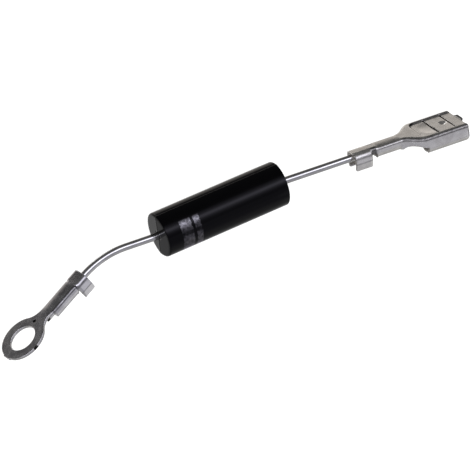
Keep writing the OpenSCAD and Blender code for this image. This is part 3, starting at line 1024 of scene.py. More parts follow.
@dataclass
class FoldedSheet:
    """A terminal stamped from sheet: a flat blank, folded across its length and pressed in places.

    A place on the blank is x along the terminal and v across it from the middle line.
    """

    name: str
    node: str
    t: float
    tail: float
    rear_len: float
    space: float
    wire_len: float
    wing_drop: float
    lead_r: float = 0.6
    crimp_gap: float = 0.01
    crimp_fold: float = 0.3
    rear_room: float = 0.6
    rear_r: float = 0.35
    join_room: float = 0.1
    join_drop: float = 0.2
    join_r: float = 0.12
    wing_lean: float = 14.0
    wing_tip: float = 1.3
    wing_seam: float = 0.06
    tail_w: float = 1.6
    barrel: float = 8.0
    crimp_r: float = 0.16
    crimp_side: float = 0.35
    crimp_lean: float = 25.0
    crimp_flank: float = 85.0
    crimp_low: float = 0.5
    crease_len: float = 0.12
    crease_rows: tuple[float, ...] = (-0.09, -0.04, 0.0, 0.04, 0.09)
    rows_back: float = 0.1
    groove: float = 0.03
    groove_w: float = 0.045
    wire_corner: float = 0.15
    rear_corner: float = 0.25
    tail_corner: float = 0.03
    notch_r: float = 0.2
    ease: float = 0.2
    edge_r: float = 0.07
    step: float = 0.12
    cell: Pair = (0.13, 0.11)
    clear: float = 0.06
    probe: float = 0.004
    turns: int = 96
    # Painted shade along the rear crimp's crease and bend and the wire crimp's upper bend, which dims their
    # highlights
    bend_line_at: float = 0.75
    crimp_line_at: float = 0.7
    wing_shade: PaintedShade = PaintedShade(0.6, 0.04, 0.13)
    bend_shade: PaintedShade = PaintedShade(0.7, 0.13, 0.28)
    crimp_shade: PaintedShade = PaintedShade(0.8, 0.1, 0.24)

    @property
    def base_z(self) -> float:
        """Inner face of the flat back, above the lead's axis."""
        return self.lead_r + self.crimp_gap

    @property
    def rear_end(self) -> float:
        """Front end of the rear crimp."""
        return self.tail + self.rear_len

    @property
    def wire_x(self) -> float:
        """Rear end of the wire crimp."""
        return self.rear_end + self.space

    @property
    def wire_end(self) -> float:
        """Front end of the wire crimp."""
        return self.wire_x + self.wire_len

    @property
    def rear_section(self) -> Section:
        """The open rear crimp, whose wings lean in below their bend line.

        Returns:
            Length and angle of each step, from the middle line out.
        """
        bend_z = self.wing_tip - self.lead_r - self.wing_drop
        tip = self.wing_tip / math.cos(math.radians(self.wing_lean))
        return [
            (self.lead_r + self.rear_room - self.rear_r, 0.0),
            (RIGHT_ANGLE * (self.rear_r + self.t / 2), 90.0),
            (self.base_z - self.rear_r - bend_z - self.crease_len / 2, 0.0),
            (self.crease_len, self.wing_lean),
            (tip - self.crease_len / 2, 0.0),
        ]

    @property
    def join_section(self) -> Section:
        """The low channel between the crimps.

        Returns:
            Length and angle of each step, from the middle line out.
        """
        return [
            (self.base_z + self.join_room - self.join_r, 0.0),
            (RIGHT_ANGLE * (self.join_r + self.t / 2), 90.0),
            (self.base_z - self.join_r + self.join_drop, 0.0),
        ]

    @property
    def wire_section(self) -> Section:
        """The closed wire crimp: a barrel-shaped back, creased sides and wings that meet below.

        Returns:
            Length and angle of each step, from the middle line out.
        """
        high = self.base_z + self.t / 2
        low_turn = self.crimp_flank + self.crimp_lean
        back, flank, low = (math.radians(a) for a in (self.barrel, self.crimp_flank, low_turn))
        wide = self.crimp_r * (math.sin(flank) - math.sin(back)) + self.crimp_side * math.cos(flank)
        top = (high + self.crimp_fold - wide) / math.cos(back / 2)
        fall = top * math.sin(back / 2) + self.crimp_r * (math.cos(back) - math.cos(flank))
        fall += self.crimp_side * math.sin(flank) + self.crease_len + self.crimp_low * math.sin(low)
        under = (2 * high - fall) / (1.0 + math.cos(low))
        left = high + self.crimp_fold + self.crimp_low * math.cos(low) - under * math.sin(low)
        return [
            (top, self.barrel),
            (self.crimp_r * (flank - back), self.crimp_flank - self.barrel),
            (self.crimp_side, 0.0),
            (self.crease_len, self.crimp_lean),
            (self.crimp_low, 0.0),
            (under * (math.pi - low), 180.0 - low_turn),
            (left - self.wing_seam / 2, 0.0),
        ]

    def crimped(self, x: Array, s: Array) -> Array:
        """Angle of the sheet across both crimps and the channel between them.

        Args:
            x: Places along the terminal.
            s: Distances from the middle line.

        Returns:
            The angle that the sheet has turned through.
        """
        sections = (self.rear_section, self.join_section, self.wire_section)
        rear, joined, wire = (folded(s, section) for section in sections)
        first = smooth(x, self.rear_end - self.ease, self.rear_end + self.ease)
        second = smooth(x, self.wire_x - self.ease, self.wire_x + self.ease)
        return (1.0 - first) * rear + (first - second) * joined + second * wire

    def fold(self, x: Array, s: Array) -> Array:
        """Angle that the sheet has turned through, at x along it and s from its middle line."""
        raise NotImplementedError

    def pressed(self, x: Array, v: Array, inner: Array) -> Array:
        """Rise of the flat back where it is pressed, on the outer face (inner 0) or the inner one (1)."""
        raise NotImplementedError

    def loops(self) -> list[Loop]:
        """Outline of the blank and its holes, with the sheet on their left."""
        raise NotImplementedError

    def drawn_in(self, x: Array, v: Array) -> Array:
        """How far the sheet is turned in; not at all unless a terminal says so."""
        return np.zeros_like(x)

    def on_rear(self, x: Array) -> Array:
        """1 along the rear crimp, and 0 past it."""
        return fade(x, self.rear_end, self.rear_end + self.ease)

    def on_wire(self, x: Array) -> Array:
        """1 along the wire crimp, and 0 before and past it."""
        rises = smooth(x, self.wire_x, self.wire_x + self.ease)
        return rises * fade(x, self.wire_end, self.wire_end + 2.0 * self.ease)

    def shaded_lines(self, x: Array, v: Array) -> list[Array]:
        """Painted shade: dark lines along the rear crimp's creases and bends and the wire crimp's upper
        bends, where they dim the highlights.

        Args:
            x: Places along the terminal.
            v: Places across the blank.

        Returns:
            The share of painted shade for each kind of line.
        """
        reach = np.abs(v)
        crease = width(self.rear_section[:3]) + self.crease_len / 2
        (flat, _), (arc, _) = self.rear_section[:2]
        (top, _), (upper, _) = self.wire_section[:2]
        bend = np.abs(reach - flat - self.bend_line_at * arc) / arc
        crimp = np.abs(reach - top - self.crimp_line_at * upper)
        return [
            self.on_rear(x) * self.wing_shade.near(np.abs(reach - crease)),
            self.on_rear(x) * self.bend_shade.near(bend),
            self.on_wire(x) * self.crimp_shade.near(crimp),
        ]

    def painted_shade_at(self, x: Array, v: Array) -> Array:
        """Share of painted shade at each place; from 1 on it is fully dark."""
        raise NotImplementedError

    def crease(self) -> float:
        """Distance of a wire crimp's crease from the middle line."""
        return width(self.wire_section[:3]) + self.crease_len / 2

    def crimp_corners(self) -> list[Triple]:
        """Corners of the blank along both crimps and the tail, from the front back to the rear end.

        Returns:
            The corners as x, v and the radius there.
        """
        sections = (self.wire_section, self.join_section, self.rear_section)
        wire, joined, rear = (width(section) for section in sections)
        spine, notch = self.tail_w / 2, min(self.notch_r, CORNER_SHARE * self.space)
        return [
            (self.wire_end, wire, self.wire_corner), (self.wire_x, wire, self.wire_corner),
            (self.wire_x, joined, notch), (self.rear_end, joined, notch),
            (self.rear_end, rear, self.rear_corner), (self.tail, rear, self.rear_corner),
            (self.tail, spine, self.tail_corner), (0.0, spine, self.tail_corner),
        ]

    def marks(self) -> Array:
        """Places on the blank that the mesh has to meet, beside its even cells.

        Returns:
            The places.
        """
        along = np.arange(self.wire_x + self.rows_back, self.wire_end, self.step)
        rows = [self.crease() + k for k in self.crease_rows]
        return np.array([(x, side * s) for s in rows for side in (-1, 1) for x in along])

    def middle(self, x: Array, v: Array) -> Array:
        """Middle surface of the folded sheet.

        Args:
            x: Places along the terminal.
            v: Places across the blank.

        Returns:
            Points in the terminal's frame.
        """
        reach = np.abs(v)
        shares = (np.arange(self.turns) + 0.5) / self.turns
        angle = self.fold(x[:, None], reach[:, None] * shares[None, :])
        y = np.sign(v) * reach * np.cos(angle).mean(axis=1)
        z = self.base_z + self.t / 2 - reach * np.sin(angle).mean(axis=1)
        return np.stack([x, y, z], axis=1)

    def surface(self, blank: Array, height: Array) -> Array:
        """Points at a height above the sheet's middle surface.

        Args:
            blank: Places on the blank.
            height: Height at each place, from minus to plus half the thickness.

        Returns:
            Points in the terminal's frame.
        """
        x, v = blank[:, 0], blank[:, 1]
        e = self.probe
        along = self.middle(x + e, v) - self.middle(x - e, v)
        over = self.middle(x, v + e) - self.middle(x, v - e)
        normal = np.cross(along, over)
        normal /= np.linalg.norm(normal, axis=1, keepdims=True)
        inner = 0.5 - height / self.t
        crimp = ((x > self.wire_x - TINY) & (x < self.wire_end + TINY)).astype(float)
        beside = (np.abs(v) - self.crease()) / self.groove_w
        sunk = self.groove * np.exp(-np.square(beside)) * crimp * (1.0 - inner)
        base = self.middle(x, v)
        points = base + normal * (height - sunk - self.drawn_in(x, v))[:, None]
        lining = base - normal * self.t / 2
        away = np.maximum(np.linalg.norm(lining[:, 1:], axis=1), TINY)
        draw = np.minimum(self.base_z / away - 1.0, 0.0) * crimp * inner
        points[:, 1:] += lining[:, 1:] * draw[:, None]
        points[:, 2] += self.pressed(x, v, inner)
        return points

    def grid(self, loops: Sequence[Loop]) -> Array:
        """Places inside the blank for the mesh.

        Args:
            loops: Inset outlines.

        Returns:
            Places that keep clear of the outlines.
        """
        outer = loops[0]
        low, high = outer.min(axis=0), outer.max(axis=0)
        xs = np.arange(low[0] + self.cell[0] / 2, high[0], self.cell[0])
        half = np.arange(0.0, high[1], self.cell[1])
        vs = np.concatenate([-half[:0:-1], half])
        even = np.stack(np.meshgrid(xs, vs), axis=-1).reshape(-1, 2)
        even = even[inside(even, loops)]
        marks = self.marks()
        marks = marks[inside(marks, loops)]
        even = np.concatenate([even[nearest(even, marks) > self.clear], marks])
        return even[nearest(even, np.concatenate(loops)) > self.clear]

    def build(self, seat: Matrix) -> bpy.types.Object:
        """Fold the blank and make the terminal's mesh, with rounded edges.

        Args:
            seat: The terminal's frame.

        Returns:
            The piece.
        """
        loops = self.loops()
        rims = [inset(loop, self.edge_r) for loop in loops]
        places = np.concatenate([*rims, self.grid(rims)])
        edges: list[tuple[int, int]] = []
        first = 0
        for rim in rims:
            edges += [(first + i, first + (i + 1) % len(rim)) for i in range(len(rim))]
            first += len(rim)
        done = delaunay_2d_cdt([Vector(p) for p in places.tolist()], edges, [], 0, MERGE)
        flat = np.array([tuple(p) for p in done[0]])
        number = {old: new for new, olds in enumerate(done[3]) for old in olds}
        tris = np.array([f for f in done[2] if len(f) == 3])
        tris = tris[inside(flat[tris].mean(axis=1), rims)]
        count = len(flat)
        half = self.t / 2
        top = self.surface(flat, np.full(count, half))
        low = self.surface(flat, np.full(count, -half))
        points, blanks, worn = [top, low], [flat, flat], [np.zeros(count), np.zeros(count)]
        faces: list[list[int]] = [list(f) for f in tris]
        faces += [[c + count, b + count, a + count] for a, b, c in tris]
        total, first = 2 * count, 0
        soft = self.edge_r * (1.0 - math.cos(RIGHT_ANGLE / 2))
        for loop, rim in zip(loops, rims):
            size = len(loop)
            near = loop + (rim - loop) * soft / self.edge_r
            straight = half - self.edge_r
            rows = [(near, half - soft), (loop, straight), (loop, -straight), (near, soft - half)]
            tops = [number[first + i] for i in range(size)]
            ids = [tops]
            for places_row, height in rows:
                points.append(self.surface(places_row, np.full(size, height)))
                blanks.append(places_row)
                worn.append(np.ones(size))
                ids.append([total + i for i in range(size)])
                total += size
            ids.append([i + count for i in tops])
            for upper, lower in zip(ids, ids[1:]):
                for i in range(size):
                    after = (i + 1) % size
                    faces.append([upper[i], lower[i], lower[after], upper[after]])
            first += size
        piece = mesh_object(self.name, np.concatenate(points), faces, seat)
        blank = np.concatenate(blanks)
        add_attribute(piece.data, "blank", np.column_stack([blank, np.zeros(total)]))
        add_attribute(piece.data, "edge", np.concatenate(worn))
        # Painted shade, kept off the inner face of the sheet
        painted_shade = self.painted_shade_at(blank[:, 0], blank[:, 1])
        painted_shade[count:2 * count] = 0.0
        add_attribute(piece.data, "painted_shade", painted_shade)
        self.drop_loose(piece.data)
        return piece

    @staticmethod
    def drop_loose(mesh: bpy.types.Mesh) -> None:
        """Remove vertices that no face uses.

        Args:
            mesh: Mesh to clean.
        """
        work = bmesh.new()
        work.from_mesh(mesh)
        for vertex in [v for v in work.verts if not v.link_faces]:
            work.verts.remove(vertex)
        work.to_mesh(mesh)
        work.free()

    def dress(self, piece: bpy.types.Object, finish: TinnedFinish) -> None:
        """Give the terminal its finish and its place in the part.

        Args:
            piece: The terminal's piece.
            finish: Its metal.
        """
        piece.data.materials.append(finish.material())
        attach(piece, BODY_NAME)
        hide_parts(self.node)


def mirrored(upper: Sequence[Triple]) -> list[Triple]:
    """A whole outline, with the sheet on its left, from its upper half, which runs from the tip back."""
    return list(upper) + [(x, -v, r) for x, v, r in reversed(upper)]


@dataclass
class RingTerminal(FoldedSheet):
    """The ring terminal on the cathode lead."""

    name: str = "ring_terminal_sheet"
    node: str = "ring_terminal"
    t: float = 0.5
    tail: float = 0.05
    rear_len: float = 2.15
    space: float = 0.2
    wire_len: float = 5.2
    wing_drop: float = 1.5
    neck_len: float = 6.3
    neck_w: float = 2.3
    neck_fillet: float = 2.8
    ring_d: float = 7.9
    hole_d: float = 4.6
    carrier_w: float = 1.6
    carrier_len: float = 0.06
    mark_at: float = 3.3
    mark_side: float = 0.5
    mark_r: float = 0.28
    mark_depth: float = 0.15
    mark_inner: float = 0.55
    mark_steps: int = 20
    flatten: float = 1.6
    carrier_corner: float = 0.06
    neck_corner: float = 0.12
    ring_steps: int = 60
    fillet_steps: int = 16
    # Where the painted shade lies and how strong it is: dark patches on the crimps' backs, in the pilot
    # mark and at one spot on the ring's rim
    back_fade: float = 0.5
    wire_rise: Pair = (0.1, 0.5)
    wire_fall: Pair = (2.2, 3.6)
    wire_side: float = 0.15
    rim_spot_at: Pair = (0.1, 0.07)
    rim_spot_stretch: float = 3.2
    back_shade: PaintedShade = PaintedShade(0.5, 0.7, 1.1)
    wire_shade: PaintedShade = PaintedShade(0.45, 0.4, 0.8)
    mark_shade: PaintedShade = PaintedShade(2.0, 0.9, 1.2)
    rim_spot_shade: PaintedShade = PaintedShade(2.0, 0.12, 0.17)

    @property
    def ring_x(self) -> float:
        """Middle of the screw hole."""
        return self.wire_end + self.neck_len

    @property
    def mark(self) -> Array:
        """Middle of the pilot mark."""
        return np.array([self.ring_x - self.mark_at, -self.mark_side])

    def fold(self, x: Array, s: Array) -> Array:
        """Angle of the sheet: open rear crimp, closed wire crimp, then a flat neck."""
        return self.crimped(x, s) * fade(x, self.wire_end, self.wire_end + self.flatten)

    def pressed(self, x: Array, v: Array, inner: Array) -> Array:
        """The pilot mark between neck and hole, in the outer face only."""
        away = (np.square(x - self.mark[0]) + np.square(v - self.mark[1])) / self.mark_r**2
        return -self.mark_depth * np.clip(1.0 - away, 0.0, 1.0) * (1.0 - inner)

    def painted_shade_at(self, x: Array, v: Array) -> Array:
        """Painted shade: dark patches on the crimps' backs, in the pilot mark and at one spot on the ring's
        rim, where they stand in for shade and dark reflections.

        Args:
            x: Places along the terminal.
            v: Places across the blank.

        Returns:
            The share of wear at each place.
        """
        on_back = fade(x, self.rear_end - self.back_fade, self.rear_end)
        along = x - self.wire_x
        on_wire = smooth(along, *self.wire_rise) * fade(along, *self.wire_fall)
        pilot = np.hypot(x - self.mark[0], v - self.mark[1]) / self.mark_r
        over = (x - self.ring_x - self.rim_spot_at[0]) / self.rim_spot_stretch
        rim_spot = np.hypot(over, v - self.ring_d / 2 - self.rim_spot_at[1])
        return np.maximum.reduce([
            on_back * self.back_shade.near(np.abs(v)),
            on_wire * self.wire_shade.near(np.abs(v + self.wire_side)),
            self.mark_shade.near(pilot),
            self.rim_spot_shade.near(rim_spot),
            *self.shaded_lines(x, v),
        ])

    def marks(self) -> Array:
        """Places along the crimp's crease and round the pilot mark.

        Returns:
            The places.
        """
        around = np.arange(0.0, math.tau, math.tau / self.mark_steps)
        ring = np.stack([np.cos(around), np.sin(around)], axis=1) * self.mark_r
        spot = [self.mark[None, :], self.mark + ring * self.mark_inner, self.mark + ring]
        return np.concatenate([super().marks(), *spot])

    def loops(self) -> list[Loop]:
        """Outline of the ring, neck and wings, and the screw hole.

        Returns:
            Both outlines, with the sheet on their left.
        """
        r, fillet = self.ring_d / 2, self.neck_fillet
        fillet_v = self.neck_w / 2 + fillet
        fillet_x = self.ring_x - math.sqrt((r + fillet) ** 2 - fillet_v**2)
        meet = math.atan2(fillet_v, fillet_x - self.ring_x)
        start = math.asin(self.carrier_w / 2 / r)
        tip = self.ring_x + r + self.carrier_len
        upper = [(tip, self.carrier_w / 2, self.carrier_corner)]
        for a in np.linspace(start, meet, self.ring_steps):
            upper.append((self.ring_x + r * math.cos(a), r * math.sin(a), 0.0))
        for a in np.linspace(meet - math.pi, -RIGHT_ANGLE, self.fillet_steps):
            upper.append((fillet_x + fillet * math.cos(a), fillet_v + fillet * math.sin(a), 0.0))
        upper += [(self.wire_end, self.neck_w / 2, self.neck_corner)] + self.crimp_corners()
        hole_r = self.hole_d / 2
        around = np.arange(0.0, -math.tau, -self.step / hole_r)
        hole = np.stack([self.ring_x + hole_r * np.cos(around), hole_r * np.sin(around)], axis=1)
        return [rounded(mirrored(upper), self.step), hole]


@dataclass
class Receptacle(FoldedSheet):
    """The push-on receptacle on the anode lead."""

    name: str = "receptacle_sheet"
    node: str = "receptacle_terminal"
    t: float = 0.4
    tail: float = 0.3
    rear_len: float = 3.0
    space: float = 1.2
    wire_len: float = 4.3
    wing_drop: float = 1.45
    rear_r: float = 0.7
    crimp_r: float = 0.32
    throat_len: float = 3.9
    flare_len: float = 3.5
    wall_drop: float = 0.5
    arch_r: float = 3.2
    over_rolls: float = 7.5
    height: float = 3.2
    roll_r: float = 1.3
    floor_bend_r: float = 0.6
    tab_gap: float = 0.84
    roll_len: float = 7.7
    roll_corner: float = 0.25
    panel_half: float = 2.8
    panel_depth: float = 0.25
    panel_step: float = 0.42
    panel_corner: float = 1.2
    panel_lead: float = 0.3
    stop_at: float = 2.5
    stop_r: float = 2.2
    stop_depth: float = 0.1
    slot_w: float = 0.25
    spring_len: float = 2.9
    dimple_back: float = 0.85
    dimple_r: float = 0.7
    dimple_depth: float = 0.28
    tongue_w: float = 2.6
    tongue_len: float = 0.48
    tongue_lift: float = 0.16
    tongue_ease: float = 0.1
    tongue_corners: Pair = (0.15, 0.2)
    open_len: float = 0.4
    bow: float = 12.0
    trim: float = 0.001
    roll_ease: float = 1.2
    inner_off: float = 0.1
    stop_edge: float = 0.08
    turned_in: float = 0.14
    turned_len: float = 0.45
    turned_span: Pair = (-0.1, 0.2)
    end_span: Pair = (-0.3, 0.15)
    end_steps: int = 90
    lip_trim: float = 0.02
    throat_trim: float = 0.01
    throat_steps: int = 40
    wall_clear: float = 0.05
    bend_rows: tuple[float, ...] = (0.25, 0.45, 0.6, 0.75, 0.9, 1.05)
    dimple_steps: int = 36
    dimple_rows: tuple[float, ...] = (0.2, 0.4, 0.6, 0.8, 1.0)
    panel_rows: tuple[float, ...] = (-0.21, -0.13, -0.05, 0.04, 0.13, 0.21, 0.31)
    # Where the painted shade lies and how strong it is, for dark patches that stand in for shade and dark
    # reflections
    join_rise: Pair = (-0.1, 0.2)
    join_fall: Pair = (-0.1, 0.1)
    back_rise: Pair = (0.0, 0.4)
    back_fall: Pair = (-0.8, 0.4)
    throat_rise: float = 0.5
    rear_span: Pair = (0.1, 0.9)
    rear_gain: float = 1.1
    rear_thin: float = 0.04
    front_fade: float = 0.4
    slot_side: Pair = (-0.3, 0.6)
    wing_shade: PaintedShade = PaintedShade(0.5, 0.04, 0.13)
    bend_shade: PaintedShade = PaintedShade(0.56, 0.13, 0.28)
    crimp_shade: PaintedShade = PaintedShade(0.66, 0.1, 0.24)
    join_shade: PaintedShade = PaintedShade(0.9, 0.4, 0.7)
    back_shade: PaintedShade = PaintedShade(0.35, 0.8, 1.0)
    shoulder_shade: PaintedShade = PaintedShade(0.86, 0.17, 0.32)
    panel_shade: PaintedShade = PaintedShade(0.65, 0.1, 0.22)
    slot_shade: PaintedShade = PaintedShade(0.8, 0.0, 0.16)
    roll_shade: PaintedShade = PaintedShade(0.7, -0.35, -0.15)
    tongue_shade: PaintedShade = PaintedShade(1.1, -0.1, 0.15)

    @property
    def roll_x(self) -> float:
        """Start of the rolls."""
        return self.wire_end + self.throat_len

    @property
    def front(self) -> float:
        """Front end of the floor."""
        return self.roll_x + self.roll_len

    @property
    def stop_x(self) -> float:
        """Sheared edge of the tab stop."""
        return self.roll_x + self.stop_at

    @property
    def dimple(self) -> Array:
        """Middle of the locking dimple."""
        return np.array([self.stop_x + self.slot_w + self.spring_len - self.dimple_back, 0.0])

    @property
    def top(self) -> float:
        """Outer face of the flat back, above the lead's axis."""
        return self.base_z + self.t

    @property
    def roll_z(self) -> float:
        """Middle of a roll, above the lead's axis."""
        return self.top - self.height + self.roll_r

    @property
    def curl(self) -> Triple:
        """Bowed side above a roll, the roll's length across the blank, and its angle.

        Returns:
            Both lengths in millimetres and the angle in radians.
        """
        radius = self.roll_r - self.t / 2
        lip = math.asin((self.base_z - self.panel_depth - self.tab_gap - self.roll_z) / radius)
        bow = math.radians(self.bow)
        fall = self.top - self.t / 2 - self.roll_z - self.shoulder * (1.0 - math.sin(bow))
        return fall * bow / math.sin(bow), radius * (math.pi + lip), math.pi + lip

    @property
    def shoulder(self) -> float:
        """Radius of the shoulder bend's middle surface, which turns a little less than a right angle."""
        return (self.floor_bend_r - self.t / 2) * RIGHT_ANGLE / (RIGHT_ANGLE - math.radians(self.bow))

    def flare(self, x: Array) -> tuple[Array, Array]:
        """Flat half width and length of the shoulder bend along the throat and the rolls.

        Args:
            x: Places along the terminal.

        Returns:
            The flat half width and the bend's length.
        """
        share = smooth(x, self.roll_x - self.flare_len, self.roll_x)
        neck_r = self.crimp_r + self.t / 2
        neck = self.top + self.crimp_fold - neck_r
        bow = math.radians(self.bow)
        out = self.shoulder * math.cos(bow) + self.curl[0] * (1.0 - math.cos(bow)) / bow
        flat = neck + share * (self.over_rolls / 2 - self.t / 2 - out - self.trim - neck)
        bend = neck_r + share * (self.floor_bend_r - neck_r)
        return flat, RIGHT_ANGLE * (bend - self.t / 2)

    def fold(self, x: Array, s: Array) -> Array:
        """Angle of the sheet: rear crimp, wire crimp, throat and rolls.

        Args:
            x: Places along the terminal.
            s: Distances from the middle line.

        Returns:
            The angle that the sheet has turned through.
        """
        flat, arc = self.flare(x)
        side, length, angle = self.curl
        formed = smooth(x, self.roll_x - self.roll_ease, self.roll_x)
        rolled = turn(s, flat + arc + side, length, angle) * formed
        bow = math.radians(self.bow)
        shaped = turn(s, flat, arc, RIGHT_ANGLE - bow) + turn(s, flat + arc, side, bow) + rolled
        past = smooth(x, self.wire_end, self.wire_end + self.open_len)
        return (1.0 - past) * self.crimped(x, s) + past * shaped

    def off_panel(self, x: Array, v: Array) -> Array:
        """Distance outside the sunk panel, which is open at the front; below 0 on the panel.

        Args:
            x: Places along the terminal.
            v: Places across the blank.

        Returns:
            The distance at each place.
        """
        r = self.panel_corner
        along = self.roll_x - self.panel_lead + r - x
        over = np.abs(v) - self.panel_half + r
        corner = np.hypot(np.maximum(along, 0.0), np.maximum(over, 0.0))
        return corner + np.minimum(np.maximum(along, over), 0.0) - r

    def cap(self, away: Array, r: float, depth: float, inner: Array) -> Array:
        """How far a ball that is pressed in sinks both faces of the sheet.

        Args:
            away: Distances from its middle.
            r: Radius of the sunk place.
            depth: Depth in its middle.
            inner: 0 on the outer face of the sheet and 1 on its inner face.

        Returns:
            The depth at each place.
        """
        ball = (r * r + depth * depth) / (2 * depth)
        outside, within = (
            np.sqrt(np.maximum((ball + k) ** 2 - np.square(away), 0.0)) - (ball - depth) - k
            for k in (0.0, self.t)
        )
        return np.maximum(outside, 0.0) * (1.0 - inner) + np.maximum(within, 0.0) * inner

    def pressed(self, x: Array, v: Array, inner: Array) -> Array:
        """The sunk panel with its tab stop and locking dimple, and the raised tongue.

        Args:
            x: Places along the terminal.
            v: Places across the blank.
            inner: 0 on the outer face of the sheet and 1 on its inner face.

        Returns:
            The rise at each place.
        """
        off = self.off_panel(x, v) - self.inner_off * inner
        down = self.panel_depth * fade(off, -self.panel_step / 2, self.panel_step / 2)
        stop = self.cap(np.hypot(x - self.stop_x, v), self.stop_r, self.stop_depth, inner)
        down = down + np.where(x <= self.stop_x + self.stop_edge, stop, 0.0)
        down = down + self.cap(np.hypot(x - self.dimple[0], v), self.dimple_r, self.dimple_depth, inner)
        lift = smooth(x, self.front - self.tongue_ease, self.front + self.tongue_len)
        return self.tongue_lift * lift - down

    def drawn_in(self, x: Array, v: Array) -> Array:
        """How far the front ends of the rolls are turned in.

        Args:
            x: Places along the terminal.
            v: Places across the blank.

        Returns:
            The distance at each place.
        """
        flat, arc = self.flare(x)
        ahead = np.square(smooth(x, self.front - self.turned_len, self.front))
        return self.turned_in * ahead * smooth(np.abs(v) - flat - arc, *self.turned_span)

    def painted_shade_at(self, x: Array, v: Array) -> Array:
        """Painted shade: dark patches between and on the crimps, along the shoulders, round the panel,
        beside a slot and at the front ends, where they stand in for shade and dark reflections.

        Args:
            x: Places along the terminal.
            v: Places across the blank.

        Returns:
            The share of wear at each place.
        """
        reach = np.abs(v)
        flat, arc = self.flare(x)
        between = smooth(x - self.rear_end, *self.join_rise) * fade(x - self.wire_x, *self.join_fall)
        crimped = smooth(x - self.wire_x, *self.back_rise) * fade(x - self.wire_end, *self.back_fall)
        past = smooth(x, self.wire_end, self.wire_end + self.throat_rise)
        shoulder = np.abs(reach - flat - self.bend_line_at * arc)
        rear = fade(x - self.roll_x, *self.rear_span)
        behind = fade(x, self.front - self.front_fade, self.front)
        rim = np.abs(self.off_panel(x, v)) + self.rear_thin * rear
        round_panel = self.panel_shade.near(rim) * (1.0 + rear * self.rear_gain / self.panel_shade.share)
        slot = np.abs(x - self.stop_x - self.slot_w / 2) - self.slot_w / 2
        beside_slot = smooth(-v, *self.slot_side) * (reach < self.panel_half)
        return np.maximum.reduce([
            between * self.join_shade.past(reach),
            crimped * self.back_shade.near(reach),
            past * self.shoulder_shade.near(shoulder),
            behind * round_panel,
            beside_slot * self.slot_shade.near(slot),
            self.roll_shade.past(x - self.front) * smooth(reach, flat, flat + arc),
            self.tongue_shade.past(x - self.front),
            *self.shaded_lines(x, v),
        ])

    def beside_panel(self, off: float) -> Array:
        """Places on the blank along the panel's outline.

        Args:
            off: Distance outside it.

        Returns:
            The places, from the front on one side to the front on the other.
        """
        r, half = self.panel_corner + off, self.panel_half + off
        rear = self.roll_x - self.panel_lead - off
        swing = np.arange(RIGHT_ANGLE, math.pi, self.step / r)
        corner = np.stack([rear + r + r * np.cos(swing), half - r + r * np.sin(swing)], axis=1)
        side = np.array([(x, half) for x in np.arange(rear + r, self.front, self.step)])
        upper = np.concatenate([side, corner])
        back = np.array([(rear, v) for v in np.arange(r - half, half - r, self.step)])
        return np.concatenate([upper, back, upper * (1.0, -1.0)])

    def marks(self) -> Array:
        """Places along the crease and the shoulders, round the panel and round the dimple.

        Returns:
            The places.
        """
        along = np.arange(self.wire_end, self.front, self.step)
        flat, arc = self.flare(along)
        bends = [
            np.stack([along, side * (flat + k * arc)], axis=1)
            for k in self.bend_rows for side in (-1.0, 1.0)
        ]
        around = np.arange(0.0, math.tau, math.tau / self.dimple_steps)
        ring = np.stack([np.cos(around), np.sin(around)], axis=1) * self.dimple_r
        spot = [self.dimple[None, :]] + [self.dimple + ring * k for k in self.dimple_rows]
        steps = [self.beside_panel(k) for k in self.panel_rows]
        return np.concatenate([super().marks(), *bends, *spot, *steps])

    def wall_edge(self, x: Array) -> Array:
        """Half width of the blank along the throat, whose walls have an arch cut into them.

        Args:
            x: Places along the throat.

        Returns:
            The half width at each place.
        """
        off = x - self.wire_end - self.throat_len / 2
        arch = -self.wall_drop - self.arch_r + np.sqrt(np.maximum(self.arch_r**2 - np.square(off), 0.0))
        low = np.maximum(arch, max(-self.lead_r - self.wall_drop, self.roll_z))
        flat, arc = self.flare(x)
        return flat + arc + self.base_z + self.t / 2 - arc / RIGHT_ANGLE - low

    def slot(self, x: float) -> Loop:
        """One sheared slot across the floor.

        Args:
            x: Its rear edge.

        Returns:
            The slot's outline, with the sheet on its left.
        """
        v = self.panel_half
        corners = [(x, v, 0.0), (x + self.slot_w, v, 0.0), (x + self.slot_w, -v, 0.0), (x, -v, 0.0)]
        return rounded(corners, self.step)

    def end_trim(self, s: Array, flat: float, arc: float) -> Array:
        """How far the ends of a roll stand back where its corners are round, seen from the side.

        Args:
            s: Distances from the middle line, from the shoulder to the roll's free edge.
            flat: Flat half width of the floor.
            arc: Length of the shoulder bend.

        Returns:
            The distance back from the roll's end.
        """
        side, length, angle = self.curl
        bent = np.clip((s - flat) / arc, 0.0, 1.0) * RIGHT_ANGLE
        curled = np.clip((s - flat - arc - side) / length, 0.0, 1.0) * angle
        above = self.floor_bend_r * (1.0 - np.cos(bent))
        below = self.roll_r * (1.0 - np.sin(np.minimum(curled, math.pi)))
        near = np.where(curled > 0.0, below, above)
        r = self.roll_corner
        return r - np.sqrt(np.maximum(r * r - np.square(np.maximum(r - near, 0.0)), 0.0))

